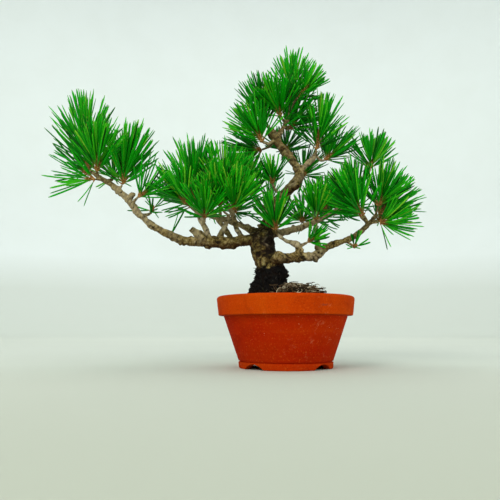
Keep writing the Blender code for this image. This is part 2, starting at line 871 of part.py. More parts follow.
def make_needles(parts, wood_rows):
    green = new_material("pine_needles", (0.03, 0.22, 0.03), 0.55)
    space = Space()
    for rows in wood_rows:
        for here, after in zip(rows[:-1], rows[1:]):
            space.take(here[:3], after[:3], max(here[3], after[3]), "wood")
    for branch, shoots in SHOOTS.items():
        for i, (place, direction, shoot_length, _) in enumerate(shoots):
            heading = np.array(direction) / np.linalg.norm(direction)
            bud = bud_place(place)
            end = bud + heading * shoot_length
            space.take(bud, end, SHOOT_RADIUS, f"needles_{branch}_{i + 1}")
    for branch, shoots in SHOOTS.items():
        for i, shoot in enumerate(shoots):
            make_tuft(f"needles_{branch}_{i + 1}", shoot, space, parts, green)


# ---------------------------------------------------------------- whole


def stand_on_origin(parts, helpers):
    """Moves everything, through one empty, so that the box's bottom middle is the origin."""
    bpy.context.view_layer.update()
    graph = bpy.context.evaluated_depsgraph_get()
    corners = []
    for obj in parts.objects:
        shown = obj.evaluated_get(graph)
        corners += [shown.matrix_world @ Vector(corner) for corner in shown.bound_box]
    low = [min(corner[i] for corner in corners) for i in range(3)]
    high = [max(corner[i] for corner in corners) for i in range(3)]
    handle = bpy.data.objects.new("bonsai_origin", None)
    parts.objects.link(handle)
    for obj in [*parts.objects, *helpers.objects]:
        if obj != handle:
            obj.parent = handle
    handle.location = (-(low[0] + high[0]) / 2, -(low[1] + high[1]) / 2, -low[2])
    bpy.context.view_layer.update()
    return handle


def main():
    clear_scene()
    parts = new_collection(OBJECT_NAME)
    helpers = new_collection("cutters")
    make_pot(parts, helpers)
    make_drainage(parts)
    cutter = make_root_cutter(helpers)
    make_soil(parts, cutter)
    make_moss(parts, cutter)
    wood_rows = make_wood(parts, helpers)[1]
    make_needles(parts, wood_rows)
    stand_on_origin(parts, helpers)


main()
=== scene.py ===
"""Looks for a pine bonsai in a round clay pot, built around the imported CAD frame.

Metres throughout, apart from the tables that say mm. Each piece takes its place and size from a CAD
node's mesh: the pot, soil, moss and wood are finer versions of theirs, and each tuft grows its
needles along its node's shoot.
"""

import heapq
import itertools
import math

import bmesh
import bpy
import numpy as np
from mathutils import Matrix, Vector, noise
from mathutils.bvhtree import BVHTree


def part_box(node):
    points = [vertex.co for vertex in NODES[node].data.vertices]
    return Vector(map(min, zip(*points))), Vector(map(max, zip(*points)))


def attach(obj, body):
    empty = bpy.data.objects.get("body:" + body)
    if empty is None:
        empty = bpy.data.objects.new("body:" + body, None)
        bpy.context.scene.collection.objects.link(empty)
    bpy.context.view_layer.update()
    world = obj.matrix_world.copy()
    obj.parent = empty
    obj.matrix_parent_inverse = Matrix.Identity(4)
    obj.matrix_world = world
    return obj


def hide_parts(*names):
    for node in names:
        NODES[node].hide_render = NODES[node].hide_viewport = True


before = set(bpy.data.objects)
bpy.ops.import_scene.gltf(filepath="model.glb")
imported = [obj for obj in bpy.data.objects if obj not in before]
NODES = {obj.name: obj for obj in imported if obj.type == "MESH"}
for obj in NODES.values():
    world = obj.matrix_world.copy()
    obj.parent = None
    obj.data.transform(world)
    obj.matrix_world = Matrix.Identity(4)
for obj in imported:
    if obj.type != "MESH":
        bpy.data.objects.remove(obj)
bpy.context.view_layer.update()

MM = 0.001

# ---- camera, from the pot's axis and the ground ----
CAMERA_OFFSET = (-0.0385, -0.55, 0.0413)
CAMERA_PITCH = 8.92  # degrees above level
CAMERA_LENS = 36.0
CAMERA_SENSOR = 36.0

# ---- studio, in metres, watts and linear colours ----
FLOOR_RADIUS = 2.2
SWEEP_RADIUS = 1.5
WALL_HEIGHT = 4.2
MAIN_LIGHTS = (  # name, place, size, energy, colour
    ("key", (-0.7, -1.3, 1.15), 0.8, 14.5, (1.0, 0.99, 0.96)),
    ("fill", (1.2, -1.1, 0.7), 1.2, 7.0, (0.95, 0.98, 1.0)),
    ("top", (0.0, 0.3, 1.7), 1.4, 9.0, (1.0, 1.0, 1.0)),
)
WALL_LIGHT_ENERGIES = (42.0, 17.0, 17.0, 17.0)  # from behind, going round by quarter turns
WORLD_COLOUR = (0.90, 0.96, 1.0, 1.0)
WORLD_STRENGTH = 0.38

# ---- pot: the sizes that part.py turns it from ----
RIM_BAND_HEIGHT = 20.8 * MM
RIM_OVERHANG = 6.0 * MM
RIM_BAND_TAPER = 2.0 * MM
RIM_EDGE_RADIUS = 3.0 * MM
BAND_EDGE_RADIUS = 1.3 * MM
LIP_EDGE_RADIUS = 1.6 * MM
WALL_SLOPE = 0.342
WALL_THICKNESS = 6.2 * MM
RIM_LIP_WIDTH = 7.0 * MM
FLOOR_THICKNESS = 6.0 * MM
FOOT_HEIGHT = 6.7 * MM
FOOT_WIDTH = 7.5 * MM
FOOT_GROOVE = ((-0.9, 0.4), (-0.6, -0.1), (0.3, -0.5), (0.4, -1.0))  # mm out and up from the foot's top edge
NOTCH_WIDTH = 26.0 * MM
NOTCH_HEIGHT = 5.6 * MM
NOTCH_COUNT = 4
DRAIN_HOLE_RADIUS = 11.0 * MM

POT_LOW, POT_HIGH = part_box("pot")
POT_AXIS = Vector(((POT_LOW.x + POT_HIGH.x) / 2, (POT_LOW.y + POT_HIGH.y) / 2, 0.0))
POT_RADIUS = (POT_HIGH.x - POT_LOW.x) / 2
RIM = POT_HIGH.z
SCUFF = (POT_AXIS.x + 33.7 * MM, POT_AXIS.y - 66.0 * MM, RIM - 11.5 * MM)
SCUFF_SHAPE = (1 / 5.0, 1 / 6.0, 1 / 1.5)  # one over its half sizes in mm

# ---- wood ----
WOOD_VOXEL = 0.95 * MM
BLACK_BARK_HEIGHT = 32.5 * MM  # above the rim
TRUNK_KNOTS = (  # mm above the rim, bearing in degrees, size in mm
    (60, -90, 6.5),
    (50, 75, 6.0),
    (62, 160, 4.5),
    (41, 20, 4.0),
)
# Seen from the front, in mm: right of the pot's axis, above the rim, size, rise, and a tone. A dark
# mark is sunk in and darkened with painted shade, a light one younger bark, a pale one a scar, a ringed
# one has growth rings sunk in as grooves that get painted shade, and one of bark only rises.
WOOD_MARKS = (
    (-28.9, 46.2, 3.8, -1.2, "dark"),
    (-13.5, 56.0, 7.0, -0.6, "dark"),
    (-19.5, 46.5, 5.0, -0.8, "dark"),
    (-16.0, 63.5, 5.0, 0.5, "dark"),
    (-8.0, 41.5, 7.5, 2.8, "light"),
    (4.0, 42.0, 5.5, 1.0, "light"),
    (12.6, 56.0, 4.6, 1.6, "pale"),
    (33.4, 39.5, 6.5, 2.6, "bark"),
    (18.5, 41.0, 4.5, -0.8, "dark"),
    (-1.0, 26.0, 7.0, 3.2, "bark"),
    (-34.5, 11.0, 8.0, 2.4, "bark"),
    (-31.0, 27.0, 5.0, 1.6, "bark"),
    (-79.7, 61.0, 7.0, 2.0, "bark"),
    (-66.0, 62.0, 7.0, 2.0, "light"),
    (-72.5, 59.0, 3.0, -1.2, "dark"),
    (-49.4, 66.0, 6.0, 1.2, "bark"),
    (-5.6, 64.4, 4.0, 0.6, "pale"),
    (1.2, 60.5, 4.0, 0.4, "pale"),
    (-34.7, 48.5, 4.6, 0.0, "light"),
    (-35.5, 56.0, 4.0, 0.0, "light"),
    (-32.0, 40.0, 4.6, 0.2, "light"),
    (-27.0, 36.5, 4.6, 0.2, "light"),
    (-22.5, 51.5, 3.2, 0.2, "light"),
    (-25.5, 69.0, 4.2, 0.0, "light"),
    (9.0, 42.0, 17.0, 0.0, "ringed"),
    (31.0, 39.5, 10.0, 0.0, "ringed"),
    (-91.1, 82.6, 6.5, 0.0, "pale"),
    (-85.5, 72.0, 6.0, 0.0, "pale"),
    (-66.9, 75.4, 6.5, 0.0, "pale"),
    (-52.7, 72.0, 5.5, 0.0, "pale"),
    (-59.9, 82.6, 6.5, 0.0, "pale"),
    (-11.6, 36.5, 4.2, 0.4, "light"),
    (8.1, 56.7, 4.0, 0.6, "pale"),
)
STUB_SCARS = 130
ROOT_FIBRES = 420

# ---- soil and moss ----
SOIL_GRAINS = 2300
DEEPEST_GRAIN = 12.0 * MM  # below the rim
MOSS_GRAINS = 900
MOSS_FIBRES = 300
MOSS_FIBRES_REACH = 34.0 * MM
MOSS_FIBRES_RISE = (7.5 * MM, 2.2 * MM)  # at the moss's left end and at that reach
MOSS_FLATNESS = (0.9, 0.9, 0.60)

# ---- needles ----
GOLDEN_ANGLE = math.radians(137.5)
NEEDLE_HALF_WIDTH = 0.95 * MM
NEEDLE_THINNESS = 0.62
NEEDLE_SIDES = 6
NEEDLE_TAPER = ((0, 0.15, 0.8, 0.94, 1), (0.62, 0.95, 1.0, 0.85, 0.25))  # along it, width
PAIRS_AT_LEAST = 31
PAIRS_PER_METRE = 1150.0  # of shoot
FEWEST_PAIRS = 6
FULL_LENGTH = 42.0 * MM  # a tuft with shorter needles has fewer of them
NEEDLE_GAIN = 1.06  # the usual length against the CAD needles
TUFT_LENGTHS = {  # where it isn't the usual gain
    "apex_1": 0.93,
    "apex_2": 0.99,
    "left_1": 1.18,
    "left_3": 1.10,
    "left_fork_b_2": 1.10,
    "crown_left_3": 1.14,
    "back_right_1": 1.22,
    "back_right_2": 1.15,
    "back_right_3": 1.22,
}
TUFT_FULLNESS = {  # tufts with fewer or more needles than the usual share
    "left_1": 1.15,
    "left_4": 0.40,
    "left_5": 0.26,
    "left_6": 0.50,
    "left_7": 0.60,
    "left_8": 0.12,
    "leader_1": 0.70,
    "leader_2": 0.95,
    "apex_1": 0.85,
    "back_1": 0.60,
    "back_2": 0.55,
    "crown_left_3": 1.05,
    "crown_left_4": 0.90,
    "crown_right_2": 0.80,
    "back_right_1": 1.20,
    "back_right_3": 1.20,
    "back_right_4": 1.05,
    "front_upright_2": 0.80,
    "right_4": 0.55,
    "right_7": 0.45,
    "left_fork_b_1": 0.75,
}
CLUMPS = 7
STRAY_PAIRS = (  # mm right of the pot's axis, mm above the rim, the way it points, mm long
    (-125.0, 72.0, (0.45, -0.25, 0.85), 26),
    (-157.0, 99.0, (0.85, -0.35, -0.25), 15),
    (-146.0, 92.0, (0.05, -0.35, 0.9), 17),
)
NEEDLED_STEMS = (  # from and to, mm right of and behind the pot's axis and above the rim; pairs; mm long
    ((2.0, 0.0, 202.0), (23.0, 0.0, 238.0), 26, 34),
    ((-3.0, 0.0, 196.0), (8.0, 0.0, 212.0), 12, 30),
    ((36.0, 30.0, 89.0), (70.0, 52.0, 109.0), 26, 34),
)


# ---- small helpers ----


def new_object(name, mesh, materials=()):
    obj = bpy.data.objects.new(name, mesh)
    bpy.context.scene.collection.objects.link(obj)
    for material in materials:
        mesh.materials.append(material)
    return obj


def work_in_modifiers(obj):
    bpy.context.view_layer.update()
    graph = bpy.context.evaluated_depsgraph_get()
    old = obj.data
    mesh = bpy.data.meshes.new_from_object(obj.evaluated_get(graph))
    obj.modifiers.clear()
    obj.data = mesh
    bpy.data.meshes.remove(old)


def vertex_vectors(mesh, kind):
    """Each vertex's "co" or "normal"."""
    vectors = np.empty(len(mesh.vertices) * 3)
    mesh.vertices.foreach_get(kind, vectors)
    return vectors.reshape(-1, 3)


def tinted_mesh(name, places, faces, tints):
    mesh = bpy.data.meshes.new(name)
    mesh.from_pydata(places, [], faces.tolist())
    set_attribute(mesh, "tint", tints)
    return mesh


def set_attribute(mesh, name, values):
    attribute = mesh.attributes.new(name, "FLOAT", "POINT")
    attribute.data.foreach_set("value", np.asarray(values, dtype=np.float32))


def cad_shape(node):
    """A CAD node's welded corners and its triangles."""
    mesh = NODES[node].data
    mesh.calc_loop_triangles()
    places = vertex_vectors(mesh, "co")
    corners, index = np.unique(np.round(places, 6), axis=0, return_inverse=True)
    faces = np.empty(len(mesh.loop_triangles) * 3, np.int32)
    mesh.loop_triangles.foreach_get("vertices", faces)
    faces = index.reshape(-1)[faces].reshape(-1, 3)
    return corners, faces


def surface_tree(node):
    corners, faces = cad_shape(node)
    return BVHTree.FromPolygons([tuple(c) for c in corners], [tuple(map(int, f)) for f in faces])


def smoothstep(low, high, value):
    share = np.clip((value - low) / (high - low), 0.0, 1.0)
    return share * share * (3 - 2 * share)


def bell(value, middle, spread):
    return np.exp(-((value - middle) ** 2) / spread)


def distance(places, place):
    return np.linalg.norm(places - place, axis=1)


def unit(vectors):
    """Each vector, or the one given, at length 1."""
    return vectors / (np.linalg.norm(vectors, axis=-1, keepdims=True) + 1e-12)


def noise_at(places, scale, stretch=(1.0, 1.0, 1.0), offset=0.0, octaves=3):
    """Smooth noise between about -1 and 1 at each place; scale is features per metre."""
    scaled = places * np.array(stretch) * scale + offset
    return np.array([noise.fractal(Vector(p), 0.9, 2.1, octaves) for p in scaled])


def cracks_at(places, scale, stretch=(1.0, 1.0, 1.0)):
    """0 on the borders between cells and rising towards their middles."""
    scaled = places * np.array(stretch) * scale
    found = [noise.voronoi(Vector(p))[0] for p in scaled]
    return np.array([d[1] - d[0] for d in found])


def finish_piece(obj, slot, *nodes):
    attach(obj, "root")
    if nodes:
        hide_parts(*nodes)


# ---- strands ----


def strand_mesh(name, paths, radii, sides, facing, thinness=1.0, attributes=None):
    """Tubes along many paths at once: paths (count, points, 3), radii (count, points).

    facing (count, 3) is the direction of each tube's wide side. Attributes are (count, points).
    """
    count, steps, _ = paths.shape
    tangent = unit(np.gradient(paths, axis=1))
    wide = unit(facing[:, None, :] - (tangent * facing[:, None, :]).sum(2, keepdims=True) * tangent)
    thin = np.cross(tangent, wide)
    turn = 2 * math.pi * np.arange(sides) / sides
    ring = (
        wide[:, :, None, :] * np.cos(turn)[None, None, :, None]
        + thin[:, :, None, :] * np.sin(turn)[None, None, :, None] * thinness
    )
    places = paths[:, :, None, :] + ring * radii[:, :, None, None]
    first = (np.arange(count) * steps * sides)[:, None, None]
    row = (np.arange(steps - 1) * sides)[None, :, None]
    here = np.arange(sides)[None, None, :]
    after = (here + 1) % sides
    quads = np.stack(
        [first + row + here, first + row + after, first + row + sides + after, first + row + sides + here],
        axis=-1,
    ).reshape(-1, 4)
    starts = (first[:, 0, :] + np.arange(sides)[None, ::-1]).reshape(-1, sides)
    ends = (first[:, 0, :] + (steps - 1) * sides + np.arange(sides)[None, :]).reshape(-1, sides)
    mesh = bpy.data.meshes.new(name)
    mesh.from_pydata(places.reshape(-1, 3), [], quads.tolist() + starts.tolist() + ends.tolist())
    mesh.shade_smooth()
    for key, values in (attributes or {}).items():
        set_attribute(mesh, key, np.repeat(values.reshape(-1), sides))
    return mesh


def joined_meshes(name, parts):
    """One object from (mesh, material) pairs, each with its own slot."""
    shape = bmesh.new()
    materials = []
    for mesh, material in parts:
        before = len(shape.faces)
        shape.from_mesh(mesh)
        shape.faces.ensure_lookup_table()
        for face in shape.faces[before:]:
            face.material_index = len(materials)
        materials.append(material)
        bpy.data.meshes.remove(mesh)
    mesh = bpy.data.meshes.new(name)
    shape.to_mesh(mesh)
    shape.free()
    return new_object(name, mesh, materials)


# ---- materials ----


def colour(value):
    """A (red, green, blue) of 0 to 255 as a linear colour. A socket stays as it is."""
    if isinstance(value, bpy.types.NodeSocket):
        return value
    shares = [part / 255 for part in value]
    return (*(s / 12.92 if s <= 0.04045 else ((s + 0.055) / 1.055) ** 2.4 for s in shares), 1.0)


class Look:
    """A Principled material, short ways to add nodes to it, and the tone that they build up."""

    def __init__(self, name, roughness, specular=0.5):
        self.material = bpy.data.materials.new(name)
        self.material.use_nodes = True
        self.tree = self.material.node_tree
        self.shader = self.tree.nodes["Principled BSDF"]
        self.shader.inputs["Roughness"].default_value = roughness
        self.shader.inputs["Specular IOR Level"].default_value = specular
        self.place = self.add("ShaderNodeTexCoord").outputs["Object"]
        self.tone = None

    def add(self, kind, inputs=None, **settings):
        node = self.tree.nodes.new(kind)
        for key, value in settings.items():
            setattr(node, key, value)
        for key, value in (inputs or {}).items():
            self.feed(node.inputs[key], value)
        return node

    def feed(self, socket, value):
        if isinstance(value, bpy.types.NodeSocket):
            self.tree.links.new(value, socket)
        else:
            socket.default_value = value

    def attribute(self, name):
        return self.add("ShaderNodeAttribute", attribute_name=name).outputs["Fac"]

    def axes(self):
        return self.add("ShaderNodeSeparateXYZ", {"Vector": self.place}).outputs

    def stretched(self, scale):
        return self.add("ShaderNodeMapping", {"Vector": self.place, "Scale": scale}).outputs["Vector"]

    def noise(self, scale, detail=2.0, roughness=0.6, distortion=0.0, vector=None):
        inputs = {
            "Vector": vector or self.place,
            "Scale": scale,
            "Detail": detail,
            "Roughness": roughness,
            "Distortion": distortion,
        }
        return self.add("ShaderNodeTexNoise", inputs).outputs["Fac"]

    def cells(self, scale):
        return self.add("ShaderNodeTexVoronoi", {"Vector": self.place, "Scale": scale}).outputs["Distance"]

    def math(self, operation, first, second=0.5):
        return self.add("ShaderNodeMath", {0: first, 1: second}, operation=operation).outputs[0]

    def times(self, first, second):
        return self.math("MULTIPLY", first, second)

    def between(self, value, low, high, start=0.0, end=1.0):
        inputs = {"Value": value, "From Min": low, "From Max": high, "To Min": start, "To Max": end}
        return self.add("ShaderNodeMapRange", inputs).outputs["Result"]

    def ramp(self, value, *stops):
        node = self.add("ShaderNodeValToRGB", {"Fac": value})
        elements = node.color_ramp.elements
        while len(elements) < len(stops):
            elements.new(0.5)
        for element, (position, tone) in zip(elements, stops):
            element.position = position
            element.color = colour(tone)
        return node.outputs["Color"]

    def mix(self, factor, first, second):
        colours = {6: colour(first), 7: colour(second)}  # a colour mix's A and B
        return self.add("ShaderNodeMix", {"Factor": factor, **colours}, data_type="RGBA").outputs[2]

    def over(self, factor, tone):
        self.tone = self.mix(factor, self.tone, tone)

    def cover(self, value, low, high, share, tone):
        """Lays a tone over what is there, up to a share of it as the value goes from low to high."""
        self.over(self.between(value, low, high, 0.0, share), tone)

    def rough(self, value):
        self.feed(self.shader.inputs["Roughness"], value)

    def bump(self, height, distance, strength=1.0):
        previous = self.shader.inputs["Normal"]
        inputs = {"Height": height, "Distance": distance, "Strength": strength}
        if previous.is_linked:
            inputs["Normal"] = previous.links[0].from_socket
        self.feed(previous, self.add("ShaderNodeBump", inputs).outputs["Normal"])

    def done(self):
        self.feed(self.shader.inputs["Base Color"], self.tone)
        return self.material


def terracotta_look():
    """Orange-red fired clay: oranger on the rim and foot, redder on the wall, with pale specks."""
    look = Look("terracotta", 0.9, 0.03)
    axes = look.axes()
    height = axes["Z"]
    under = RIM - RIM_BAND_HEIGHT
    foot_top = POT_LOW.z + FOOT_HEIGHT
    band = look.between(height, under - 0.6 * MM, under + 0.6 * MM)
    foot = look.between(height, foot_top + 0.4 * MM, foot_top - 0.4 * MM, 0.0, 0.5)
    broad = look.noise(13.0, 4.0, 0.6, 0.4)
    look.tone = look.ramp(broad, (0.30, (164, 30, 0)), (0.52, (184, 38, 1)), (0.75, (192, 54, 2)))
    look.cover(height, under - 4 * MM, foot_top, 0.45, (160, 26, 1))
    rim = look.ramp(broad, (0.30, (190, 54, 0)), (0.55, (202, 66, 1)), (0.78, (208, 82, 5)))
    look.over(look.math("MAXIMUM", band, foot), rim)
    # Painted shade: a thin dark line where the rim band overhangs the wall.
    from_seam = look.math("ABSOLUTE", look.math("SUBTRACT", height, under))
    look.cover(from_seam, 0.9 * MM, 0.2 * MM, 0.4, (110, 24, 2))
    grain = look.noise(900.0, 3.0, 0.7)
    look.cover(grain, 0.35, 0.75, 0.46, (126, 24, 2))
    look.cover(look.noise(520.0), 0.58, 0.72, 0.30, (222, 104, 36))
    turning = look.noise(70.0, 3.0, vector=look.stretched((0.08, 0.08, 3.2)))
    look.cover(turning, 0.50, 0.75, 0.10, (214, 96, 20))
    look.cover(look.noise(34.0, 6.0, 0.7, 0.8), 0.52, 0.70, 0.30, (120, 22, 2))
    dust = look.noise(120.0, 6.0, 0.75, 0.4)
    to_the_right = look.math("ADD", look.between(axes["X"], 0.04, 0.12), 0.35)
    dusty = look.times(look.between(look.noise(17.0, roughness=0.55), 0.50, 0.62), to_the_right)
    look.over(look.times(look.between(dust, 0.58, 0.72, 0.0, 0.30), dusty), (226, 150, 104))
    rare = look.between(look.noise(95.0, 1.0, 0.55), 0.60, 0.66)
    look.over(look.times(look.between(look.cells(260.0), 0.12, 0.05, 0.0, 0.55), rare), (240, 190, 150))
    rare = look.between(look.noise(80.0, 1.0, 0.55, vector=look.stretched((1.3, 0.8, 1.1))), 0.60, 0.66)
    look.over(look.times(look.between(look.cells(300.0), 0.14, 0.07, 0.0, 0.8), rare), (84, 16, 4))
    apart = look.add("ShaderNodeVectorMath", {0: look.place, 1: SCUFF}, operation="SUBTRACT").outputs[0]
    apart = look.add("ShaderNodeVectorMath", {0: apart, 1: SCUFF_SHAPE}, operation="MULTIPLY").outputs[0]
    far = look.add("ShaderNodeVectorMath", {0: apart}, operation="LENGTH").outputs["Value"]
    rubbed = look.between(grain, 0.44, 0.56, 0.0, 0.8)
    look.over(look.times(look.between(far, 1.0 * MM, 0.4 * MM), rubbed), (86, 60, 48))
    look.rough(look.between(broad, 0.3, 0.7, 0.78, 0.92))
    look.bump(turning, 0.20 * MM, 0.4)
    look.bump(grain, 0.12 * MM, 0.6)
    look.bump(dust, 0.12 * MM, 0.4)
    return look.done()


def bark_look():
    """Bark in four ages from the age attribute, which also holds painted shade on the trunk's side away from
    the key light: tan twig, olive branch, dark trunk, black foot. Painted shade also lies on downward faces
    and in crevices and hollows, and a painted highlight on raised bark.
    """
    look = Look("pine_bark", 0.88, 0.14)
    age_and_shade = look.attribute("age_and_shade")
    relief_shading = look.attribute("relief_shading")
    fine = look.noise(620.0, 5.0, 0.65, 0.5)
    mottle = look.noise(270.0, 6.0, 0.68, 0.5)
    young = look.ramp(mottle, (0.34, (52, 38, 18)), (0.5, (134, 110, 58)), (0.66, (196, 172, 118)))
    olive = look.ramp(mottle, (0.34, (28, 22, 8)), (0.5, (98, 82, 36)), (0.66, (170, 148, 84)))
    trunk = look.ramp(mottle, (0.34, (10, 6, 5)), (0.52, (50, 34, 22)), (0.72, (112, 92, 54)))
    foot = look.ramp(mottle, (0.35, (5, 4, 4)), (0.6, (20, 17, 16)), (0.85, (72, 64, 58)))
    look.tone = young
    look.cover(age_and_shade, 0.0, 0.33, 1.0, olive)
    look.cover(age_and_shade, 0.33, 0.66, 1.0, trunk)
    # Painted shade on the wood's downward faces.
    look.cover(look.attribute("underside_shade"), 0.1, 0.9, 0.7, (70, 32, 12))
    look.cover(fine, 0.42, 0.72, 0.55, (40, 30, 16))
    look.over(look.attribute("pale"), look.ramp(fine, (0.2, (150, 130, 98)), (0.8, (228, 212, 178))))
    look.cover(age_and_shade, 0.72, 0.95, 1.0, foot)
    # Painted shade in the crevices and hollows.
    look.cover(relief_shading, 0.50, 0.08, 0.92, (22, 13, 7))
    # Painted highlight on raised bark.
    look.cover(relief_shading, 0.66, 0.95, 0.35, look.mix(0.5, look.tone, (232, 214, 160)))
    look.bump(fine, 0.4 * MM, 0.7)
    look.bump(mottle, 0.7 * MM, 0.6)
    return look.done()


def needle_look():
    """Green from the attribute 'tint', paler at the foot and the very tip, as 'along' says."""
    look = Look("pine_needle", 0.50, 0.14)
    along = look.attribute("along")
    look.tone = look.ramp(
        look.attribute("tint"),
        (0.0, (0, 72, 2)),
        (0.30, (0, 132, 2)),
        (0.60, (12, 180, 4)),
        (0.88, (84, 208, 26)),
        (1.0, (160, 206, 52)),
    )
    look.cover(look.noise(520.0, roughness=0.5), 0.4, 0.8, 0.40, (0, 64, 4))
    look.cover(along, 0.14, 0.03, 0.7, (120, 140, 44))
    look.cover(along, 0.95, 1.0, 0.5, (140, 150, 50))
    look.bump(look.noise(1500.0, roughness=0.55), 0.05 * MM, 0.4)
    return look.done()


def sheath_look():
    look = Look("needle_sheath", 0.8, 0.15)
    fine = look.noise(700.0, 4.0)
    look.tone = look.ramp(fine, (0.3, (92, 56, 22)), (0.5, (158, 110, 54)), (0.75, (206, 168, 110)))
    look.bump(fine, 0.15 * MM, 0.6)
    return look.done()


def soil_look():
    look = Look("soil_grains", 0.95, 0.15)
    look.tone = look.ramp(
        look.attribute("tint"),
        (0.0, (18, 15, 13)),
        (0.45, (46, 36, 28)),
        (0.75, (88, 66, 44)),
        (0.92, (128, 98, 66)),
        (1.0, (176, 160, 134)),
    )
    fine = look.noise(1100.0, 4.0)
    look.cover(fine, 0.4, 0.7, 0.5, (20, 15, 12))
    look.bump(fine, 0.3 * MM, 0.7)
    return look.done()


def fibre_look(name, dark, middle, light):
    look = Look(name, 0.9, 0.2)
    fine = look.noise(800.0, 3.0)
    look.tone = look.ramp(look.attribute("tint"), (0.0, dark), (0.55, middle), (1.0, light))
    look.cover(fine, 0.4, 0.8, 0.5, dark)
    look.bump(fine, 0.2 * MM, 0.6)
    return look.done()


def net_look():
    look = Look("black_net_plastic", 0.55, 0.4)
    fine = look.noise(600.0, 4.0)
    look.tone = look.ramp(fine, (0.3, (14, 15, 15)), (0.8, (40, 40, 38)))
    look.rough(look.between(fine, 0.3, 0.7, 0.45, 0.7))
    look.bump(fine, 0.1 * MM, 0.5)
    return look.done()


def wire_look():
    look = Look("annealed_wire", 0.4)
    look.shader.inputs["Metallic"].default_value = 1.0
    fine = look.noise(500.0, 4.0)
    look.tone = look.ramp(fine, (0.3, (96, 66, 44)), (0.8, (168, 132, 96)))
    look.rough(look.between(fine, 0.3, 0.7, 0.3, 0.55))
    return look.done()


# ---- pot ----


def around_pot(distance, bearing):
    return POT_AXIS.x + distance * math.cos(bearing), POT_AXIS.y + distance * math.sin(bearing)


def wall_radius(height):
    under_rim = POT_RADIUS - RIM_BAND_TAPER - RIM_OVERHANG
    return under_rim - (RIM - RIM_BAND_HEIGHT - height) * WALL_SLOPE


def inside_radius(height):
    floor_top = FOOT_HEIGHT + FLOOR_THICKNESS
    low = wall_radius(floor_top) - WALL_THICKNESS
    high = POT_RADIUS - RIM_LIP_WIDTH
    return low + (high - low) * (height - floor_top) / (RIM - floor_top)


def arc(centre_r, centre_z, radius, start, end, count):
    angles = np.radians(np.linspace(start, end, count + 1))
    return [(centre_r + radius * math.cos(a), centre_z + radius * math.sin(a)) for a in angles]


def pot_profile():
    """The pot's section as (r, z), from the rim's top down the outside and back up the inside."""
    band_bottom = RIM - RIM_BAND_HEIGHT
    floor_top = FOOT_HEIGHT + FLOOR_THICKNESS
    foot = wall_radius(FOOT_HEIGHT)
    edge = RIM_EDGE_RADIUS
    profile = arc(POT_RADIUS - edge, RIM - edge, edge, 90, 0, 8)
    under = BAND_EDGE_RADIUS
    profile += arc(POT_RADIUS - RIM_BAND_TAPER - under, band_bottom + 1.5 * MM, under, 0, -90, 5)
    profile += arc(wall_radius(band_bottom) + MM, band_bottom - MM, MM, 90, 180, 3)
    profile += [(wall_radius(FOOT_HEIGHT + 1.6 * MM), FOOT_HEIGHT + 1.6 * MM)]
    profile += [(wall_radius(FOOT_HEIGHT + MM) - 0.3 * MM, FOOT_HEIGHT + MM)]
    for out, up in FOOT_GROOVE:
        profile += [(foot + out * MM, FOOT_HEIGHT + up * MM)]
    profile += arc(foot - MM, MM, MM, 0, -90, 4)
    profile += [(foot - FOOT_WIDTH, 0.0), (foot - FOOT_WIDTH - 0.6 * MM, FOOT_HEIGHT)]
    profile += arc(DRAIN_HOLE_RADIUS + MM, FOOT_HEIGHT + MM, MM, -90, -180, 3)
    profile += arc(DRAIN_HOLE_RADIUS + MM, floor_top - MM, MM, 180, 90, 3)
    for inset, up in ((4.0, 0.0), (1.5, 1.5), (0.0, 5.0)):
        height = floor_top + up * MM
        profile += [(inside_radius(height) - inset * MM, height)]
    profile += [(inside_radius(RIM - 2.5 * MM), RIM - 2.5 * MM)]
    lip = LIP_EDGE_RADIUS
    profile += arc(inside_radius(RIM) + lip, RIM - lip, lip, 160, 90, 4)
    return profile


def resampled(profile, step):
    """The closed section with points about a step apart, keeping its own."""
    points = []
    for (r0, z0), (r1, z1) in zip(profile, profile[1:] + profile[:1]):
        pieces = max(1, int(math.hypot(r1 - r0, z1 - z0) / step))
        points += [(r0 + (r1 - r0) * i / pieces, z0 + (z1 - z0) * i / pieces) for i in range(pieces)]
    return points


def turned_mesh(name, profile, steps):
    """A closed section turned about the pot's axis, a little uneven as a potter leaves it."""
    rows = len(profile)
    places = []
    for i in range(steps):
        angle = 2 * math.pi * i / steps
        for point in profile:
            r, z = clay_ripple(angle, *point)
            places.append((*around_pot(r, angle), z))
    faces = []
    for i in range(steps):
        following = (i + 1) % steps
        for j in range(rows):
            after = (j + 1) % rows
            faces.append((i * rows + j, i * rows + after, following * rows + after, following * rows + j))
    mesh = bpy.data.meshes.new(name)
    mesh.from_pydata(places, [], faces)
    return mesh


def clay_ripple(angle, r, z):
    """Hand-turned unevenness: slight waves round the pot and fine turning rings up its wall."""
    east, north = math.cos(angle), math.sin(angle)
    wave = noise.noise(Vector((east * 1.6, north * 1.6, z * 26))) * 0.28 * MM
    rings = noise.noise(Vector((z * 900, east * 0.4, north * 0.4))) * 0.09 * MM
    dents = noise.noise(Vector((east * 9, north * 9, z * 140))) * 0.10 * MM
    sag = noise.noise(Vector((east * 1.2 + 7, north * 1.2, 3.0))) * 0.25 * MM
    fade = min(1.0, max(0.0, z / (3 * MM)))
    top = max(0.0, (z - RIM + RIM_BAND_HEIGHT) / RIM_BAND_HEIGHT)
    return r + (wave + rings + dents) * fade - 0.2 * MM, z + (sag - 0.25 * MM) * top


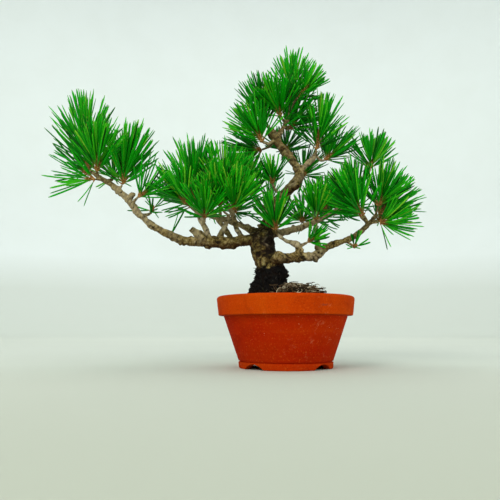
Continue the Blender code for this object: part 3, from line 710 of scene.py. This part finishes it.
def build_pot():
    mesh = turned_mesh("clay_pot", resampled(pot_profile(), 1.5 * MM), 200)
    pot = new_object("clay_pot", mesh, [terracotta_look()])
    arch = (NOTCH_WIDTH**2 / 4 + NOTCH_HEIGHT**2) / (2 * NOTCH_HEIGHT)
    reach = wall_radius(FOOT_HEIGHT) - FOOT_WIDTH / 2
    shape = bmesh.new()
    for i in range(NOTCH_COUNT):
        bearing = 2 * math.pi * (i + 0.5) / NOTCH_COUNT
        middle = (*around_pot(reach, bearing), NOTCH_HEIGHT - arch)
        turn = Matrix.Rotation(bearing, 4, "Z") @ Matrix.Rotation(math.pi / 2, 4, "Y")
        place = Matrix.Translation(middle) @ turn
        bmesh.ops.create_cone(
            shape, cap_ends=True, segments=96, radius1=arch, radius2=arch, depth=3 * FOOT_WIDTH, matrix=place
        )
    cutter_mesh = bpy.data.meshes.new("notches")
    shape.to_mesh(cutter_mesh)
    shape.free()
    cutter = new_object("notches", cutter_mesh)
    boolean = pot.modifiers.new("notches", "BOOLEAN")
    boolean.operation = "DIFFERENCE"
    boolean.solver = "EXACT"
    boolean.object = cutter
    work_in_modifiers(pot)
    bpy.data.objects.remove(cutter)
    pot.data.shade_smooth()
    pot.data.set_sharp_from_angle(angle=math.radians(40))
    finish_piece(pot, "terracotta", "pot")


# ---- soil and moss ----


def dropped_on(tree, x, y):
    """Where a surface is under a place, seen from above, and which way it faces there."""
    return tree.ray_cast(Vector((x, y, RIM + 0.05)), Vector((0, 0, -1)))[:2]


def pebbles(name, centres, sizes, tints, seed):
    """Rough grains: low round shapes with each corner pushed in or out."""
    rng = np.random.default_rng(seed)
    shape = bmesh.new()
    bmesh.ops.create_icosphere(shape, subdivisions=2, radius=1.0)
    pattern = np.array([v.co[:] for v in shape.verts])
    faces = np.array([[v.index for v in f.verts] for f in shape.faces])
    shape.free()
    count = len(centres)
    rough = 1 + rng.uniform(-0.22, 0.22, (count, len(pattern), 1))
    squash = rng.uniform(0.65, 1.15, (count, 1, 3))
    angles = rng.uniform(0, 2 * math.pi, count)
    turn = np.zeros((count, 3, 3))
    turn[:, 0, 0] = turn[:, 1, 1] = np.cos(angles)
    turn[:, 0, 1] = -np.sin(angles)
    turn[:, 1, 0] = np.sin(angles)
    turn[:, 2, 2] = 1.0
    local = np.einsum("cij,cpj->cpi", turn, pattern[None] * rough * squash)
    places = centres[:, None, :] + local * sizes[:, None, None]
    index = (faces[None] + (np.arange(count) * len(pattern))[:, None, None]).reshape(-1, 3)
    return tinted_mesh(name, places.reshape(-1, 3), index, np.repeat(tints, len(pattern)))


def build_soil(material):
    """The soil's body with a bed of loose grains over its surface."""
    rng = np.random.default_rng(21)
    tree = surface_tree("soil")
    low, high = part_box("soil")
    reach = (high.x - low.x) / 2
    corners, faces = cad_shape("soil")
    body = tinted_mesh("soil_body", corners, faces, np.full(len(corners), 0.3))
    centres, sizes = [], []
    for _ in range(SOIL_GRAINS):
        out = reach * math.sqrt(rng.uniform(0, 1)) * 0.985
        x, y = around_pot(out, rng.uniform(0, 2 * math.pi))
        size = rng.uniform(0.9, 2.2) * MM
        hit, _ = dropped_on(tree, x, y)
        if hit is None or hit.z < RIM - DEEPEST_GRAIN or out + size > reach:
            continue
        centres.append((x, y, hit.z + size * rng.uniform(-0.3, 0.35)))
        sizes.append(size)
    tints = rng.beta(1.3, 2.2, len(centres))
    grains = pebbles("soil_grains", np.array(centres), np.array(sizes), tints, 22)
    soil = joined_meshes("potting_soil", [(body, material), (grains, material)])
    finish_piece(soil, "soil", "soil")


def curl_path(start, heading, length, curl, rng, steps, upright):
    """A wandering strand: its heading turns steadily, about a more or less upright axis."""
    axis = (Vector(rng.normal(size=3)) + Vector((0.0, 0.0, upright))).normalized()
    way = Vector(heading).normalized()
    path = [np.array(start)]
    for _ in range(steps - 1):
        way = Matrix.Rotation(curl / steps + rng.normal(0, 0.08), 3, axis) @ way
        axis = (axis + Vector(rng.normal(0, 0.12, 3))).normalized()
        path.append(path[-1] + np.array(way) * length / (steps - 1))
    return np.array(path)


def fibres(name, seed, starts, headings, lengths, radius, curl, steps, upright=0.0, most_rise=1.0):
    """Many wandering strands. The curl is a range in radians, and most_rise is how far one climbs."""
    rng = np.random.default_rng(seed)
    paths = np.array(
        [
            curl_path(s, h, length, rng.uniform(*curl) * rng.choice((-1, 1)), rng, steps, upright)
            for s, h, length in zip(starts, headings, lengths)
        ]
    )
    rise = paths[:, :, 2] - paths[:, :1, 2]
    paths[:, :, 2] = paths[:, :1, 2] + most_rise * np.tanh(rise / most_rise)
    count = len(paths)
    taper = np.interp(np.linspace(0, 1, steps), (0, 0.15, 0.8, 1), (0.8, 1.0, 0.9, 0.4))
    radii = rng.uniform(0.6, 1.2, (count, 1)) * radius * taper[None]
    tints = np.repeat(rng.beta(1.2, 1.8, (count, 1)), steps, axis=1)
    return strand_mesh(name, paths, radii, 5, rng.normal(size=(count, 3)), 0.7, {"tint": tints})


def build_moss():
    """Dry moss: a dark crumbly mat with curled fibres standing out of it."""
    rng = np.random.default_rng(31)
    tree = surface_tree("moss")
    low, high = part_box("moss")
    dark = fibre_look("moss_mat", (14, 10, 6), (52, 40, 22), (120, 98, 60))
    curly = fibre_look("moss_fibres", (30, 20, 12), (132, 104, 72), (240, 224, 190))
    right_end = POT_AXIS.x + MOSS_FIBRES_REACH
    centres, starts, headings, lengths = [], [], [], []
    while len(centres) < MOSS_GRAINS:
        x = rng.uniform(low.x, high.x)
        y = rng.uniform(low.y, high.y)
        hit, normal = dropped_on(tree, x, y)
        if hit is None or normal.z < 0.05:
            continue
        centres.append((hit.x, hit.y, low.z + (hit.z - low.z) * 0.74))
        if len(starts) < MOSS_FIBRES and x < right_end:
            starts.append(np.array((hit.x, hit.y, low.z + (hit.z - low.z) * 0.78)))
            flat = np.array((rng.normal(), rng.normal(), 0.0))
            headings.append(np.array(normal) * rng.uniform(0.0, 0.7) + flat)
            lengths.append(rng.uniform(12, 28) * MM)
    sizes = rng.uniform(0.9, 2.1, len(centres)) * MM
    mat = pebbles("moss_mat", np.array(centres), sizes, rng.beta(1.2, 2.4, len(centres)), 32)
    corners, faces = cad_shape("moss")
    middle = (corners.min(axis=0) + corners.max(axis=0)) / 2
    middle[2] = corners[:, 2].min()
    flatter = middle + (corners - middle) * MOSS_FLATNESS
    body = tinted_mesh("moss_body", flatter, faces, np.full(len(corners), 0.1))
    most_rise = np.interp([start[0] for start in starts], (low.x, right_end), MOSS_FIBRES_RISE)[:, None]
    lay = {"radius": 0.58 * MM, "curl": (5.0, 11.0), "steps": 26, "upright": 1.2, "most_rise": most_rise}
    strands = fibres("moss_fibres", 33, starts, headings, lengths, **lay)
    moss = joined_meshes("dry_moss", [(body, dark), (mat, dark), (strands, curly)])
    finish_piece(moss, "moss", "moss")


# ---- wood ----


def trunk_centre():
    """Where the trunk stands, from the wood's corners just above the soil."""
    corners, _ = cad_shape("trunk_and_branches")
    near = corners[np.abs(corners[:, 2] - RIM - 14 * MM) < 8 * MM]
    return near[:, :2].mean(axis=0)


def trunk_knots(tree, centre):
    """Old wounds on the trunk: place and size."""
    found = []
    for height, bearing, size in TRUNK_KNOTS:
        way = Vector((math.cos(math.radians(bearing)), math.sin(math.radians(bearing)), 0.0))
        start = Vector((*centre, RIM + height * MM)) + way * 60 * MM
        hit = tree.ray_cast(start, -way)[0]
        if hit is not None:
            found.append((np.array(hit), size * MM))
    return found


def wood_marks(tree):
    """The wood's swellings, hollows and patches that show from the front."""
    found = []
    for across, height, size, rise, tone in WOOD_MARKS:
        start = Vector((POT_AXIS.x + across * MM, POT_LOW.y - 0.2, RIM + height * MM))
        hit = tree.ray_cast(start, Vector((0.0, 1.0, 0.0)))[0]
        if hit is not None:
            found.append((np.array(hit), size * MM, rise * MM, tone))
    return found


def spread_from(mesh, places, sources):
    """How far each point is along the surface from the nearest source point."""
    near = [[] for _ in range(len(places))]
    sides = (itertools.combinations(sorted(face.vertices), 2) for face in mesh.polygons)
    for a, b in set(itertools.chain.from_iterable(sides)):
        step = float(np.linalg.norm(places[a] - places[b]))
        near[a].append((b, step))
        near[b].append((a, step))
    reach = [math.inf] * len(places)
    queue = [(0.0, int(i)) for i in sources]
    for _, i in queue:
        reach[i] = 0.0
    heapq.heapify(queue)
    while queue:
        far, here = heapq.heappop(queue)
        if far > reach[here]:
            continue
        for there, step in near[here]:
            if far + step < reach[there]:
                reach[there] = far + step
                heapq.heappush(queue, (far + step, there))
    return np.minimum(np.array(reach), 1.0)


def smoothed_values(mesh, values, rounds):
    edges = np.empty(len(mesh.edges) * 2, np.int32)
    mesh.edges.foreach_get("vertices", edges)
    edges = edges.reshape(-1, 2)
    count = np.maximum(np.bincount(edges.ravel(), minlength=len(values)), 1)
    for _ in range(rounds):
        total = np.bincount(edges[:, 0], values[edges[:, 1]], len(values))
        total += np.bincount(edges[:, 1], values[edges[:, 0]], len(values))
        values = 0.5 * values + 0.5 * total / count
    return values


def trunk_measures(places):
    """How far each place is from the trunk's middle, and how high it is above the rim."""
    centre = trunk_centre()
    return np.hypot(places[:, 0] - centre[0], places[:, 1] - centre[1]), places[:, 2] - RIM


def line_noise(values, scale, row):
    return np.array([noise.noise(Vector((value * scale, row, 0.0))) for value in values])


def fine_wood():
    """The CAD wood, remeshed finely and softened."""
    corners, faces = cad_shape("trunk_and_branches")
    mesh = bpy.data.meshes.new("pine_wood")
    mesh.from_pydata(corners, [], faces.tolist())
    wood = new_object("pine_wood", mesh)
    remesh = wood.modifiers.new("remesh", "REMESH")
    remesh.mode = "VOXEL"
    remesh.voxel_size = WOOD_VOXEL
    work_in_modifiers(wood)
    soften = wood.modifiers.new("soften", "SMOOTH")
    soften.factor = 0.5
    soften.iterations = 3
    work_in_modifiers(wood)
    return wood


def build_wood():
    """The CAD wood with bark plates, ring scars, knots and a rough black foot.

    It works out how far each vertex is pushed out and what the bark's material needs to know there.
    """
    rng = np.random.default_rng(51)
    wood = fine_wood()
    mesh = wood.data
    places = vertex_vectors(mesh, "co")
    normals = vertex_vectors(mesh, "normal")
    tree = BVHTree.FromPolygons([tuple(p) for p in places], [tuple(p.vertices) for p in mesh.polygons])
    thick = local_thickness(mesh, tree, places, normals)
    centre = trunk_centre()
    off_trunk, height = trunk_measures(places)
    big = smoothstep(7 * MM, 24 * MM, thick)
    wander = noise_at(places, 60.0)
    on_trunk = smoothstep(34 * MM, 24 * MM, off_trunk) * smoothstep(84 * MM, 68 * MM, height)
    black = on_trunk * smoothstep(3 * MM, -3 * MM, height - BLACK_BARK_HEIGHT - wander * 8 * MM)
    bare = 1 - black

    # the patterns of the bark
    grown = smoothed_values(mesh, spread_from(mesh, places, np.flatnonzero(height < 10 * MM)), 12)
    skew = grown + noise_at(places, 45.0, offset=3.0, octaves=2) * 3 * MM
    rings = line_noise(skew, 330, 4.0) + 0.6 * line_noise(skew, 760, 9.0)
    plates = cracks_at(places + wander[:, None] * 3 * MM, 130.0, (1.0, 1.0, 0.6))
    plates = smoothstep(0.02, 0.26, plates) - 0.8
    crumb = noise_at(places, 330.0, octaves=4)
    lumps = noise_at(places, 85.0, (1.0, 1.0, 0.8), 9.0, 2)
    knobs = noise_at(places, 160.0, offset=2.0, octaves=2)
    flakes = cracks_at(places + crumb[:, None] * 1.2 * MM, 230.0, (1.0, 1.0, 0.7))
    flakes = smoothstep(0.02, 0.5, flakes) - 0.5
    ragged = noise_at(places, 120.0, (1.0, 1.0, 0.8), 5.0, 5)
    push = plates * 0.8 * MM * big * bare
    push += rings * (0.12 * MM + 0.22 * MM * smoothstep(3 * MM, 12 * MM, thick)) * bare
    push += crumb * (0.14 * MM + 0.30 * MM * big)
    push += lumps * np.minimum(1.6 * MM, 0.16 * thick) * bare
    push += np.maximum(knobs, 0.0) * np.minimum(1.4 * MM, 0.20 * thick) * bare
    push += (ragged * 3.0 * MM + flakes * 2.8 * MM) * black

    # knots, the marks that show from the front, and the scars of pruned twigs
    # Painted shade: one mask darkens the sunk middles of knots, the dark marks, the grooves of growth rings
    # and the creases round twig stubs.
    hollow_shade, scar, light, ringed = np.zeros((4, len(places)))
    for place, size in trunk_knots(tree, centre):
        far = distance(places, place) / size
        lip = bell(far, 0.95, 0.09) * smoothstep(2.0, 1.2, far)
        push += 1.5 * MM * lip - 1.6 * MM * smoothstep(0.75, 0.2, far)
        hollow_shade = np.maximum(hollow_shade, bell(far, 0.62, 0.04) + 0.8 * smoothstep(0.6, 0.2, far))
        scar = np.maximum(scar, 0.30 * smoothstep(0.32, 0.1, far) + 0.22 * bell(far, 0.95, 0.03))
    for place, size, rise, tone in wood_marks(tree):
        far = distance(places, place) / size + 0.22 * crumb
        near = smoothstep(1.25, 0.35, far)
        push += rise * near
        if tone == "dark":
            hollow_shade = np.maximum(hollow_shade, 0.85 * near)
        elif tone == "light":
            light = np.maximum(light, near)
        elif tone == "ringed":
            ringed = np.maximum(ringed, near)
        elif tone == "pale":
            scar = np.maximum(scar, 0.8 * near)
    ring_lines = smoothstep(0.11, 0.0, np.abs(rings)) * ringed
    push += (rings * 0.5 * ringed - 0.5 * ring_lines) * MM
    hollow_shade = np.maximum(hollow_shade, 0.95 * ring_lines)
    stubs = np.flatnonzero((thick > 4.5 * MM) & (height > 30 * MM) & (on_trunk < 0.1))
    for pick in rng.choice(stubs, STUB_SCARS, replace=False):
        size = rng.uniform(1.5, 3.2) * MM * min(1.0, 0.5 + thick[pick] / (20 * MM))
        far = distance(places, places[pick]) / size
        rise = min(0.13 * thick[pick], 1.9 * MM) * rng.uniform(0.5, 1.3)
        push += rise * smoothstep(1.5, 0.6, far)
        hollow_shade = np.maximum(hollow_shade, bell(far, 1.25, 0.05) * 0.55)
        scar = np.maximum(scar, smoothstep(0.8, 0.4, far) * rng.choice((0.0, 0.0, 0.0, 0.5)))
    push = np.clip(push, -0.35 * thick, 0.30 * thick + 0.4 * MM)
    mesh.vertices.foreach_set("co", (places + normals * push[:, None]).astype(np.float32).ravel())
    mesh.update()

    # what the material reads
    # Painted shade and highlight: low bark, hollows and crevices come out dark in the material, raised bark
    # light.
    relief_shading = 0.42 * crumb + 0.50 * rings * (1 - 0.7 * on_trunk) + 0.45 * plates * big + 0.6 * flakes * black
    relief_shading = np.clip(0.58 + relief_shading - 0.55 * hollow_shade, 0, 1 - 0.35 * black)
    # Painted shade: on the trunk, the side facing right, away from the key light, is pushed towards older,
    # darker bark.
    shade_side = smoothstep(-0.05, 0.55, normals[:, 0] + 0.6 * wander)
    upper = smoothstep(54 * MM, 60 * MM, height + wander * 6 * MM)
    age_and_shade = 0.06 + 0.34 * big + on_trunk * 0.32 * np.maximum(shade_side, 0.62 * upper)
    age_and_shade += 0.10 * smoothstep(2 * MM, -8 * MM, places[:, 1] - centre[1]) * (1 - on_trunk) * big
    age_and_shade += 0.06 * smoothstep(85 * MM, 130 * MM, height)
    age_and_shade = np.clip(age_and_shade + 0.16 * wander - 0.30 * light, 0.0, 0.68)
    black = black * (1 - light)
    thin = smoothstep(13 * MM, 6 * MM, thick)
    high = smoothstep(62 * MM, 76 * MM, height) * (1 - on_trunk)
    high = np.maximum(high, smoothstep(84 * MM, 100 * MM, height))
    patches = smoothstep(-0.3, 0.3, noise_at(places, 24.0, octaves=2))
    pale = (0.58 * patches * (1 - 0.5 * high) + 0.10 * high) * thin
    # Painted shade: faces turned downwards, less on thin twigs.
    underside_shade = smoothstep(0.25, -0.7, normals[:, 2] + 0.25 * crumb) * (1 - 0.6 * thin)
    set_attribute(mesh, "age_and_shade", np.maximum(age_and_shade, black))
    set_attribute(mesh, "relief_shading", relief_shading)
    set_attribute(mesh, "pale", np.clip(np.maximum(pale, scar) * (1 - black), 0, 1))
    set_attribute(mesh, "underside_shade", underside_shade)
    mesh.shade_smooth()
    mesh.materials.append(bark_look())
    finish_piece(wood, "bark", "trunk_and_branches")
    return mesh


def local_thickness(mesh, tree, places, normals):
    """How thick the wood is under each point: the way through to the far side, smoothed a little."""
    found = np.empty(len(places))
    for i, (place, normal) in enumerate(zip(places, normals)):
        inward = Vector(-normal)
        start = Vector(place) + inward * 0.05 * MM
        through = tree.ray_cast(start, inward)[3]
        found[i] = through if through is not None else 3 * MM
    return smoothed_values(mesh, np.clip(found, 1.5 * MM, 40 * MM), 12)


def build_root_fibres(wood_mesh):
    """Wiry black fibres on the trunk's foot."""
    rng = np.random.default_rng(41)
    places = vertex_vectors(wood_mesh, "co")
    normals = vertex_vectors(wood_mesh, "normal")
    off_trunk, height = trunk_measures(places)
    chosen = np.flatnonzero((off_trunk < 26 * MM) & (height > 0) & (height < BLACK_BARK_HEIGHT))
    picks = rng.choice(chosen, ROOT_FIBRES, replace=False)
    starts = places[picks] - normals[picks] * 0.2 * MM
    outward = normals[picks] * rng.uniform(0.0, 0.5, (ROOT_FIBRES, 1))
    headings = outward + (0.0, 0.0, -1.0) + rng.normal(0, 0.5, (ROOT_FIBRES, 3))
    lengths = rng.uniform(2, 6, ROOT_FIBRES) * MM
    look = fibre_look("root_fibres", (8, 7, 6), (28, 24, 21), (128, 116, 96))
    mesh = fibres("root_fibres", 42, starts, headings, lengths, 0.32 * MM, (0.5, 2.5), 8)
    finish_piece(new_object("root_fibres", mesh, [look]), "bark")


# ---- needles ----


def read_tuft(node, wood_tree):
    """From a tuft's CAD solid: the shoot's two ends, lower one first, and its needles' length."""
    corners, faces = cad_shape(node)
    edges = np.sort(np.concatenate([faces[:, [0, 1]], faces[:, [1, 2]], faces[:, [2, 0]]]), axis=1)
    edges = np.unique(edges, axis=0)
    beside = {i: set() for i in range(len(corners))}
    for a, b in edges:
        beside[a].add(b)
        beside[b].add(a)
    tips = [i for i in beside if len(beside[i]) == 3]
    rings = set().union(*(beside[i] for i in tips))
    body = corners[[i for i in beside if i not in rings and len(beside[i]) != 3]]
    apart = np.linalg.norm(body[:, None] - body[None], axis=2)
    first, second = np.unravel_index(apart.argmax(), apart.shape)
    ends = [Vector(body[first]), Vector(body[second])]
    ends.sort(key=lambda end: wood_tree.find_nearest(end)[3])
    lengths = []
    for tip in tips:
        root = corners[list(beside[tip])].mean(axis=0)
        lengths.append(np.linalg.norm(corners[tip] - root))
    return np.array(ends[0]), np.array(ends[1]), float(np.percentile(lengths, 80))


def across_axes(direction):
    side = unit(np.cross(direction, (0.0, 1.0, 0.0) if abs(direction[1]) < 0.9 else (1.0, 0.0, 0.0)))
    return side, np.cross(direction, side)


def needle_steps(steps):
    """How far along a needle its rings are, closer together near the tip."""
    return 1 - (1 - np.linspace(0, 1, steps)) ** 1.5


def drawn_together(headings, rng):
    """Needles lean a little towards a few of their number, which leaves gaps between clumps."""
    most = 0.36 * min(1.0, len(headings) / 40)
    leaders = headings[rng.choice(len(headings), min(CLUMPS, len(headings)), replace=False)]
    nearest = (headings @ leaders.T).argmax(axis=1)
    pulled = headings + (leaders[nearest] - headings) * rng.uniform(0.0, most, (len(headings), 1))
    return unit(pulled)


def needle_paths(roots, headings, lengths, bends, steps):
    share = needle_steps(steps)
    straight = roots[:, None] + headings[:, None] * (lengths[:, None] * share)[:, :, None]
    return straight + bends[:, None] * (lengths[:, None] * share**2)[:, :, None]


def needle_mesh(name, paths, widths, facing, tints):
    """Flat tapered needles along their paths, each with its width as a share of the usual one."""
    count, steps, _ = paths.shape
    share = needle_steps(steps)
    radii = np.interp(share, *NEEDLE_TAPER)[None] * NEEDLE_HALF_WIDTH * widths[:, None]
    attributes = {
        "tint": np.repeat(tints[:, None], steps, axis=1),
        "along": np.repeat(share[None], count, axis=0),
    }
    return strand_mesh(name, paths, radii, NEEDLE_SIDES, facing, NEEDLE_THINNESS, attributes)


def build_tuft(node, index, wood_tree, materials):
    """A shoot with its needle pairs set round it in a spiral, wide below and forward at its tip."""
    rng = np.random.default_rng(100 + index)
    base, end, length = read_tuft(node, wood_tree)
    shoot = end - base
    shoot_length = np.linalg.norm(shoot)
    axis = shoot / shoot_length
    sides = across_axes(axis)
    short_name = node.removeprefix("needles_")
    length *= TUFT_LENGTHS.get(short_name, NEEDLE_GAIN)
    pairs = (PAIRS_AT_LEAST + PAIRS_PER_METRE * shoot_length) * TUFT_FULLNESS.get(short_name, 1.0)
    pairs = max(FEWEST_PAIRS, int(pairs * min(1.0, length / FULL_LENGTH)))
    order = np.arange(pairs)
    along = ((order + 0.5) / pairs) ** 0.8
    lean = np.radians(np.interp(along, (0, 0.3, 0.7, 1), (72, 50, 32, 8)) + rng.normal(0, 8, pairs))
    bearing = order * GOLDEN_ANGLE + rng.normal(0, 0.25, pairs)
    out = np.cos(bearing)[:, None] * sides[0] + np.sin(bearing)[:, None] * sides[1]
    heading = np.cos(lean)[:, None] * axis + np.sin(lean)[:, None] * out
    heading[:, 2] += 0.14
    heading = drawn_together(heading, rng)
    root = base + axis * (along * shoot_length)[:, None] + out * 1.1 * MM
    reach = length * rng.uniform(0.80, 1.04, pairs) * np.interp(along, (0, 0.3, 1), (0.86, 1.0, 0.98))
    tone = rng.uniform(0.0, 0.22) + 0.22
    apart = unit(np.cross(heading, rng.normal(size=(pairs, 3))))
    opening = 1.0 if pairs > 20 else 2.2  # a sparse tuft's pairs stand wider open
    paths, facing, tints = [], [], []
    for side in (-1, 1):
        spread = np.tan(np.radians(rng.uniform(1.5, 5.0, pairs) * opening))[:, None]
        way = unit(heading + apart * side * spread)
        bend = rng.normal(0, 0.04, (pairs, 3)) + apart * side * 0.015
        bend[:, 2] += 0.05
        lengths = reach * rng.uniform(0.94, 1.02, pairs)
        paths.append(needle_paths(root + heading * 3 * MM, way, lengths - 3 * MM, bend, 7))
        facing.append(apart + rng.normal(0, 0.4, (pairs, 3)))
        tints.append(np.clip(tone + rng.normal(0.12, 0.22, pairs) + 0.20 * (along - 0.4), 0, 0.94))
    paths, facing, tints = np.concatenate(paths), np.concatenate(facing), np.concatenate(tints)
    free = [reaches_air(path, wood_tree) for path in paths]
    widths = rng.uniform(0.85, 1.1, sum(free))
    needles = needle_mesh("needles", paths[free], widths, facing[free], tints[free])
    sheaths = sheath_mesh(root, heading, rng)
    stem = stem_mesh(base, axis, shoot_length, rng)
    green, brown = materials
    tuft = joined_meshes(f"pine_tuft_{short_name}", [(needles, green), (sheaths, brown), (stem, brown)])
    finish_piece(tuft, "needles", node)


def reaches_air(path, wood_tree):
    """False for a needle that would run into wood."""
    start = Vector(path[1])
    way = Vector(path[-1]) - start
    return wood_tree.ray_cast(start, way.normalized(), way.length)[0] is None


def sheath_mesh(roots, headings, rng):
    """The short papery sleeve round each pair's foot."""
    count = len(roots)
    lengths = rng.uniform(3.0, 5.0, (count, 1)) * MM
    reach = lengths * np.linspace(0, 1, 4) - 0.8 * MM
    paths = roots[:, None] + headings[:, None] * reach[:, :, None]
    radii = np.repeat((np.array((1.0, 1.05, 0.9, 0.6)) * 0.85 * MM)[None], count, axis=0)
    return strand_mesh("sheaths", paths, radii, 6, rng.normal(size=(count, 3)))


def stem_mesh(base, axis, length, rng):
    """The shoot itself, scaly, ending in a pointed bud."""
    steps = 22
    share = np.linspace(0, 1, steps)
    path = base[None] + axis[None] * (share * (length + 4 * MM))[:, None]
    radii = 1.55 * MM + 0.35 * MM * np.sin(share * length / MM * 2.4) + rng.normal(0, 0.1, steps) * MM
    radii *= np.interp(share, (0, 0.04, 0.8, 0.88, 1), (0.6, 1.0, 0.9, 1.1, 0.15))
    return strand_mesh("stem", path[None], radii[None], 10, rng.normal(size=(1, 3)))


def build_stray_needles(wood_tree, green):
    """Pairs that grow straight from wood: a few on the long branch, many on the needled stems."""
    rng = np.random.default_rng(61)
    middle = np.array((POT_AXIS.x, POT_AXIS.y, RIM))
    roots, ways, lengths = [], [], []
    for across, height, way, length in STRAY_PAIRS:
        hit = wood_tree.find_nearest(Vector(middle + (across * MM, 0.0, height * MM)))[0]
        for side in (-0.12, 0.12):
            roots.append(np.array(hit))
            ways.append(unit(np.array(way)) + (side, 0.0, side * 0.3))
            lengths.append(length * MM * rng.uniform(0.9, 1.0))
    for low, high, count, length in NEEDLED_STEMS:
        low = middle + np.array(low) * MM
        high = middle + np.array(high) * MM
        axis = unit(high - low)
        sides = across_axes(axis)
        for i in range(count):
            hit, normal, _, _ = wood_tree.find_nearest(Vector(low + (high - low) * (i + 0.5) / count))
            out = math.cos(i * GOLDEN_ANGLE) * sides[0] + math.sin(i * GOLDEN_ANGLE) * sides[1]
            lean = math.radians(rng.uniform(38, 62))
            way = axis * math.cos(lean) + out * math.sin(lean)
            across = unit(np.cross(way, rng.normal(size=3)))
            for side in (-0.04, 0.04):
                roots.append(np.array(hit - normal * 1.5 * MM))
                ways.append(way + across * side)
                lengths.append(length * MM * rng.uniform(0.8, 1.0))
    count = len(roots)
    bends = rng.normal(0, 0.03, (count, 3)) + (0.0, 0.0, 0.12)
    paths = needle_paths(np.array(roots), np.array(ways), np.array(lengths), bends, 9)
    tints = rng.uniform(0.2, 0.5, count)
    facing = rng.normal(size=(count, 3))
    mesh = needle_mesh("stray_needles", paths, np.ones(count), facing, tints)
    finish_piece(new_object("stray_needles", mesh, [green]), "needles")


def build_tufts():
    wood_tree = surface_tree("trunk_and_branches")
    materials = (needle_look(), sheath_look())
    build_stray_needles(wood_tree, materials[0])
    nodes = sorted(name for name in NODES if name.startswith("needles_"))
    for index, node in enumerate(nodes):
        build_tuft(node, index, wood_tree, materials)


# ---- small carried-over parts ----


def dress_drainage():
    for node, look in (("drainage_net", net_look()), ("net_clip", wire_look())):
        mesh = NODES[node].data
        mesh.materials.clear()
        mesh.materials.append(look)


# ---- studio ----


def paper_look():
    """A floor whose tone changes with its depth, as the photo's paper does: painted light and shade, darkest
    at the front as a painted shadow, and a wall painted paler towards its top.
    """
    look = Look("backdrop_paper", 0.9, 0.1)
    axes = look.axes()
    # Painted light and shade: the floor's tone follows depth, darkest in front as a painted shadow.
    look.tone = look.ramp(
        look.between(axes["Y"], POT_AXIS.y - 0.5, POT_AXIS.y + 2.5),
        (0.027, (185, 190, 174)),
        (0.08, (195, 200, 186)),
        (0.133, (206, 211, 198)),
        (0.18, (210, 216, 204)),
        (0.257, (209, 215, 204)),
        (0.383, (199, 205, 194)),
        (0.5, (196, 202, 191)),
        (0.723, (204, 210, 199)),
        (0.933, (210, 216, 206)),
    )
    up = look.between(axes["Z"], 0.0, 0.6)
    # Painted light: the wall grows paler towards its top.
    wall = look.ramp(up, (0.0, (210, 216, 206)), (0.5, (214, 220, 212)), (0.95, (234, 240, 237)))
    look.cover(axes["Z"], 0.0, 0.02, 1.0, wall)
    look.cover(look.noise(3.0, 5.0, 0.55), 0.4, 0.6, 0.06, (205, 208, 196))
    return look.done()


def build_stage():
    """A floor that rises all round into a backdrop, so that no view has an edge."""
    profile = [(0.0, 0.0), (FLOOR_RADIUS, 0.0)]
    profile += arc(FLOOR_RADIUS, SWEEP_RADIUS, SWEEP_RADIUS, math.degrees(0.05) - 90, 0, 23)
    profile += [(FLOOR_RADIUS + SWEEP_RADIUS, WALL_HEIGHT)]
    shape = bmesh.new()
    points = [shape.verts.new((POT_AXIS.x + r, POT_AXIS.y, z - 0.1 * MM)) for r, z in profile]
    edges = [shape.edges.new(pair) for pair in zip(points, points[1:])]
    bmesh.ops.spin(
        shape, geom=points + edges, cent=POT_AXIS, axis=(0, 0, 1), angle=2 * math.pi, steps=96, use_merge=True
    )
    bmesh.ops.remove_doubles(shape, verts=shape.verts, dist=0.01 * MM)
    mesh = bpy.data.meshes.new("backdrop")
    shape.to_mesh(mesh)
    shape.free()
    mesh.shade_smooth()
    new_object("backdrop", mesh, [paper_look()])


def add_area_light(name, place, target, size, energy, tone=(1.0, 1.0, 1.0)):
    light = bpy.data.lights.new(name, "AREA")
    light.shape = "SQUARE"
    light.size = size
    light.energy = energy
    light.color = tone
    obj = bpy.data.objects.new(name, light)
    bpy.context.scene.collection.objects.link(obj)
    obj.location = place
    obj.rotation_euler = (Vector(target) - Vector(place)).to_track_quat("-Z", "Y").to_euler()
    obj.visible_camera = False


def build_lights():
    middle = (POT_AXIS.x - 0.05, POT_AXIS.y, 0.15)
    for name, place, size, energy, tone in MAIN_LIGHTS:
        add_area_light(name, place, middle, size, energy, tone)
    up = Vector((0.0, 0.0, 1.0))
    for i, energy in enumerate(WALL_LIGHT_ENERGIES):
        away = Vector((math.sin(i * math.pi / 2), math.cos(i * math.pi / 2), 0.0))
        add_area_light(f"wall_{i}", away * 0.9 + up * 2.2, away * 3.6 + up * 1.2, 2.2, energy)
    world = bpy.data.worlds.new("studio")
    bpy.context.scene.world = world
    world.use_nodes = True
    background = world.node_tree.nodes["Background"]
    background.inputs["Color"].default_value = WORLD_COLOUR
    background.inputs["Strength"].default_value = WORLD_STRENGTH


def build_camera():
    camera = bpy.data.cameras.new("camera")
    camera.lens = CAMERA_LENS
    camera.sensor_width = CAMERA_SENSOR
    camera.clip_start = 0.01
    obj = bpy.data.objects.new("camera", camera)
    bpy.context.scene.collection.objects.link(obj)
    obj.location = (
        POT_AXIS.x + CAMERA_OFFSET[0],
        POT_AXIS.y + CAMERA_OFFSET[1],
        POT_LOW.z + CAMERA_OFFSET[2],
    )
    obj.rotation_euler = (math.radians(90 + CAMERA_PITCH), 0.0, 0.0)
    bpy.context.scene.camera = obj


build_camera()
build_stage()
build_lights()
build_pot()
build_soil(soil_look())
build_moss()
build_root_fibres(build_wood())
build_tufts()
dress_drainage()
bpy.context.scene.view_settings.view_transform = "Standard"
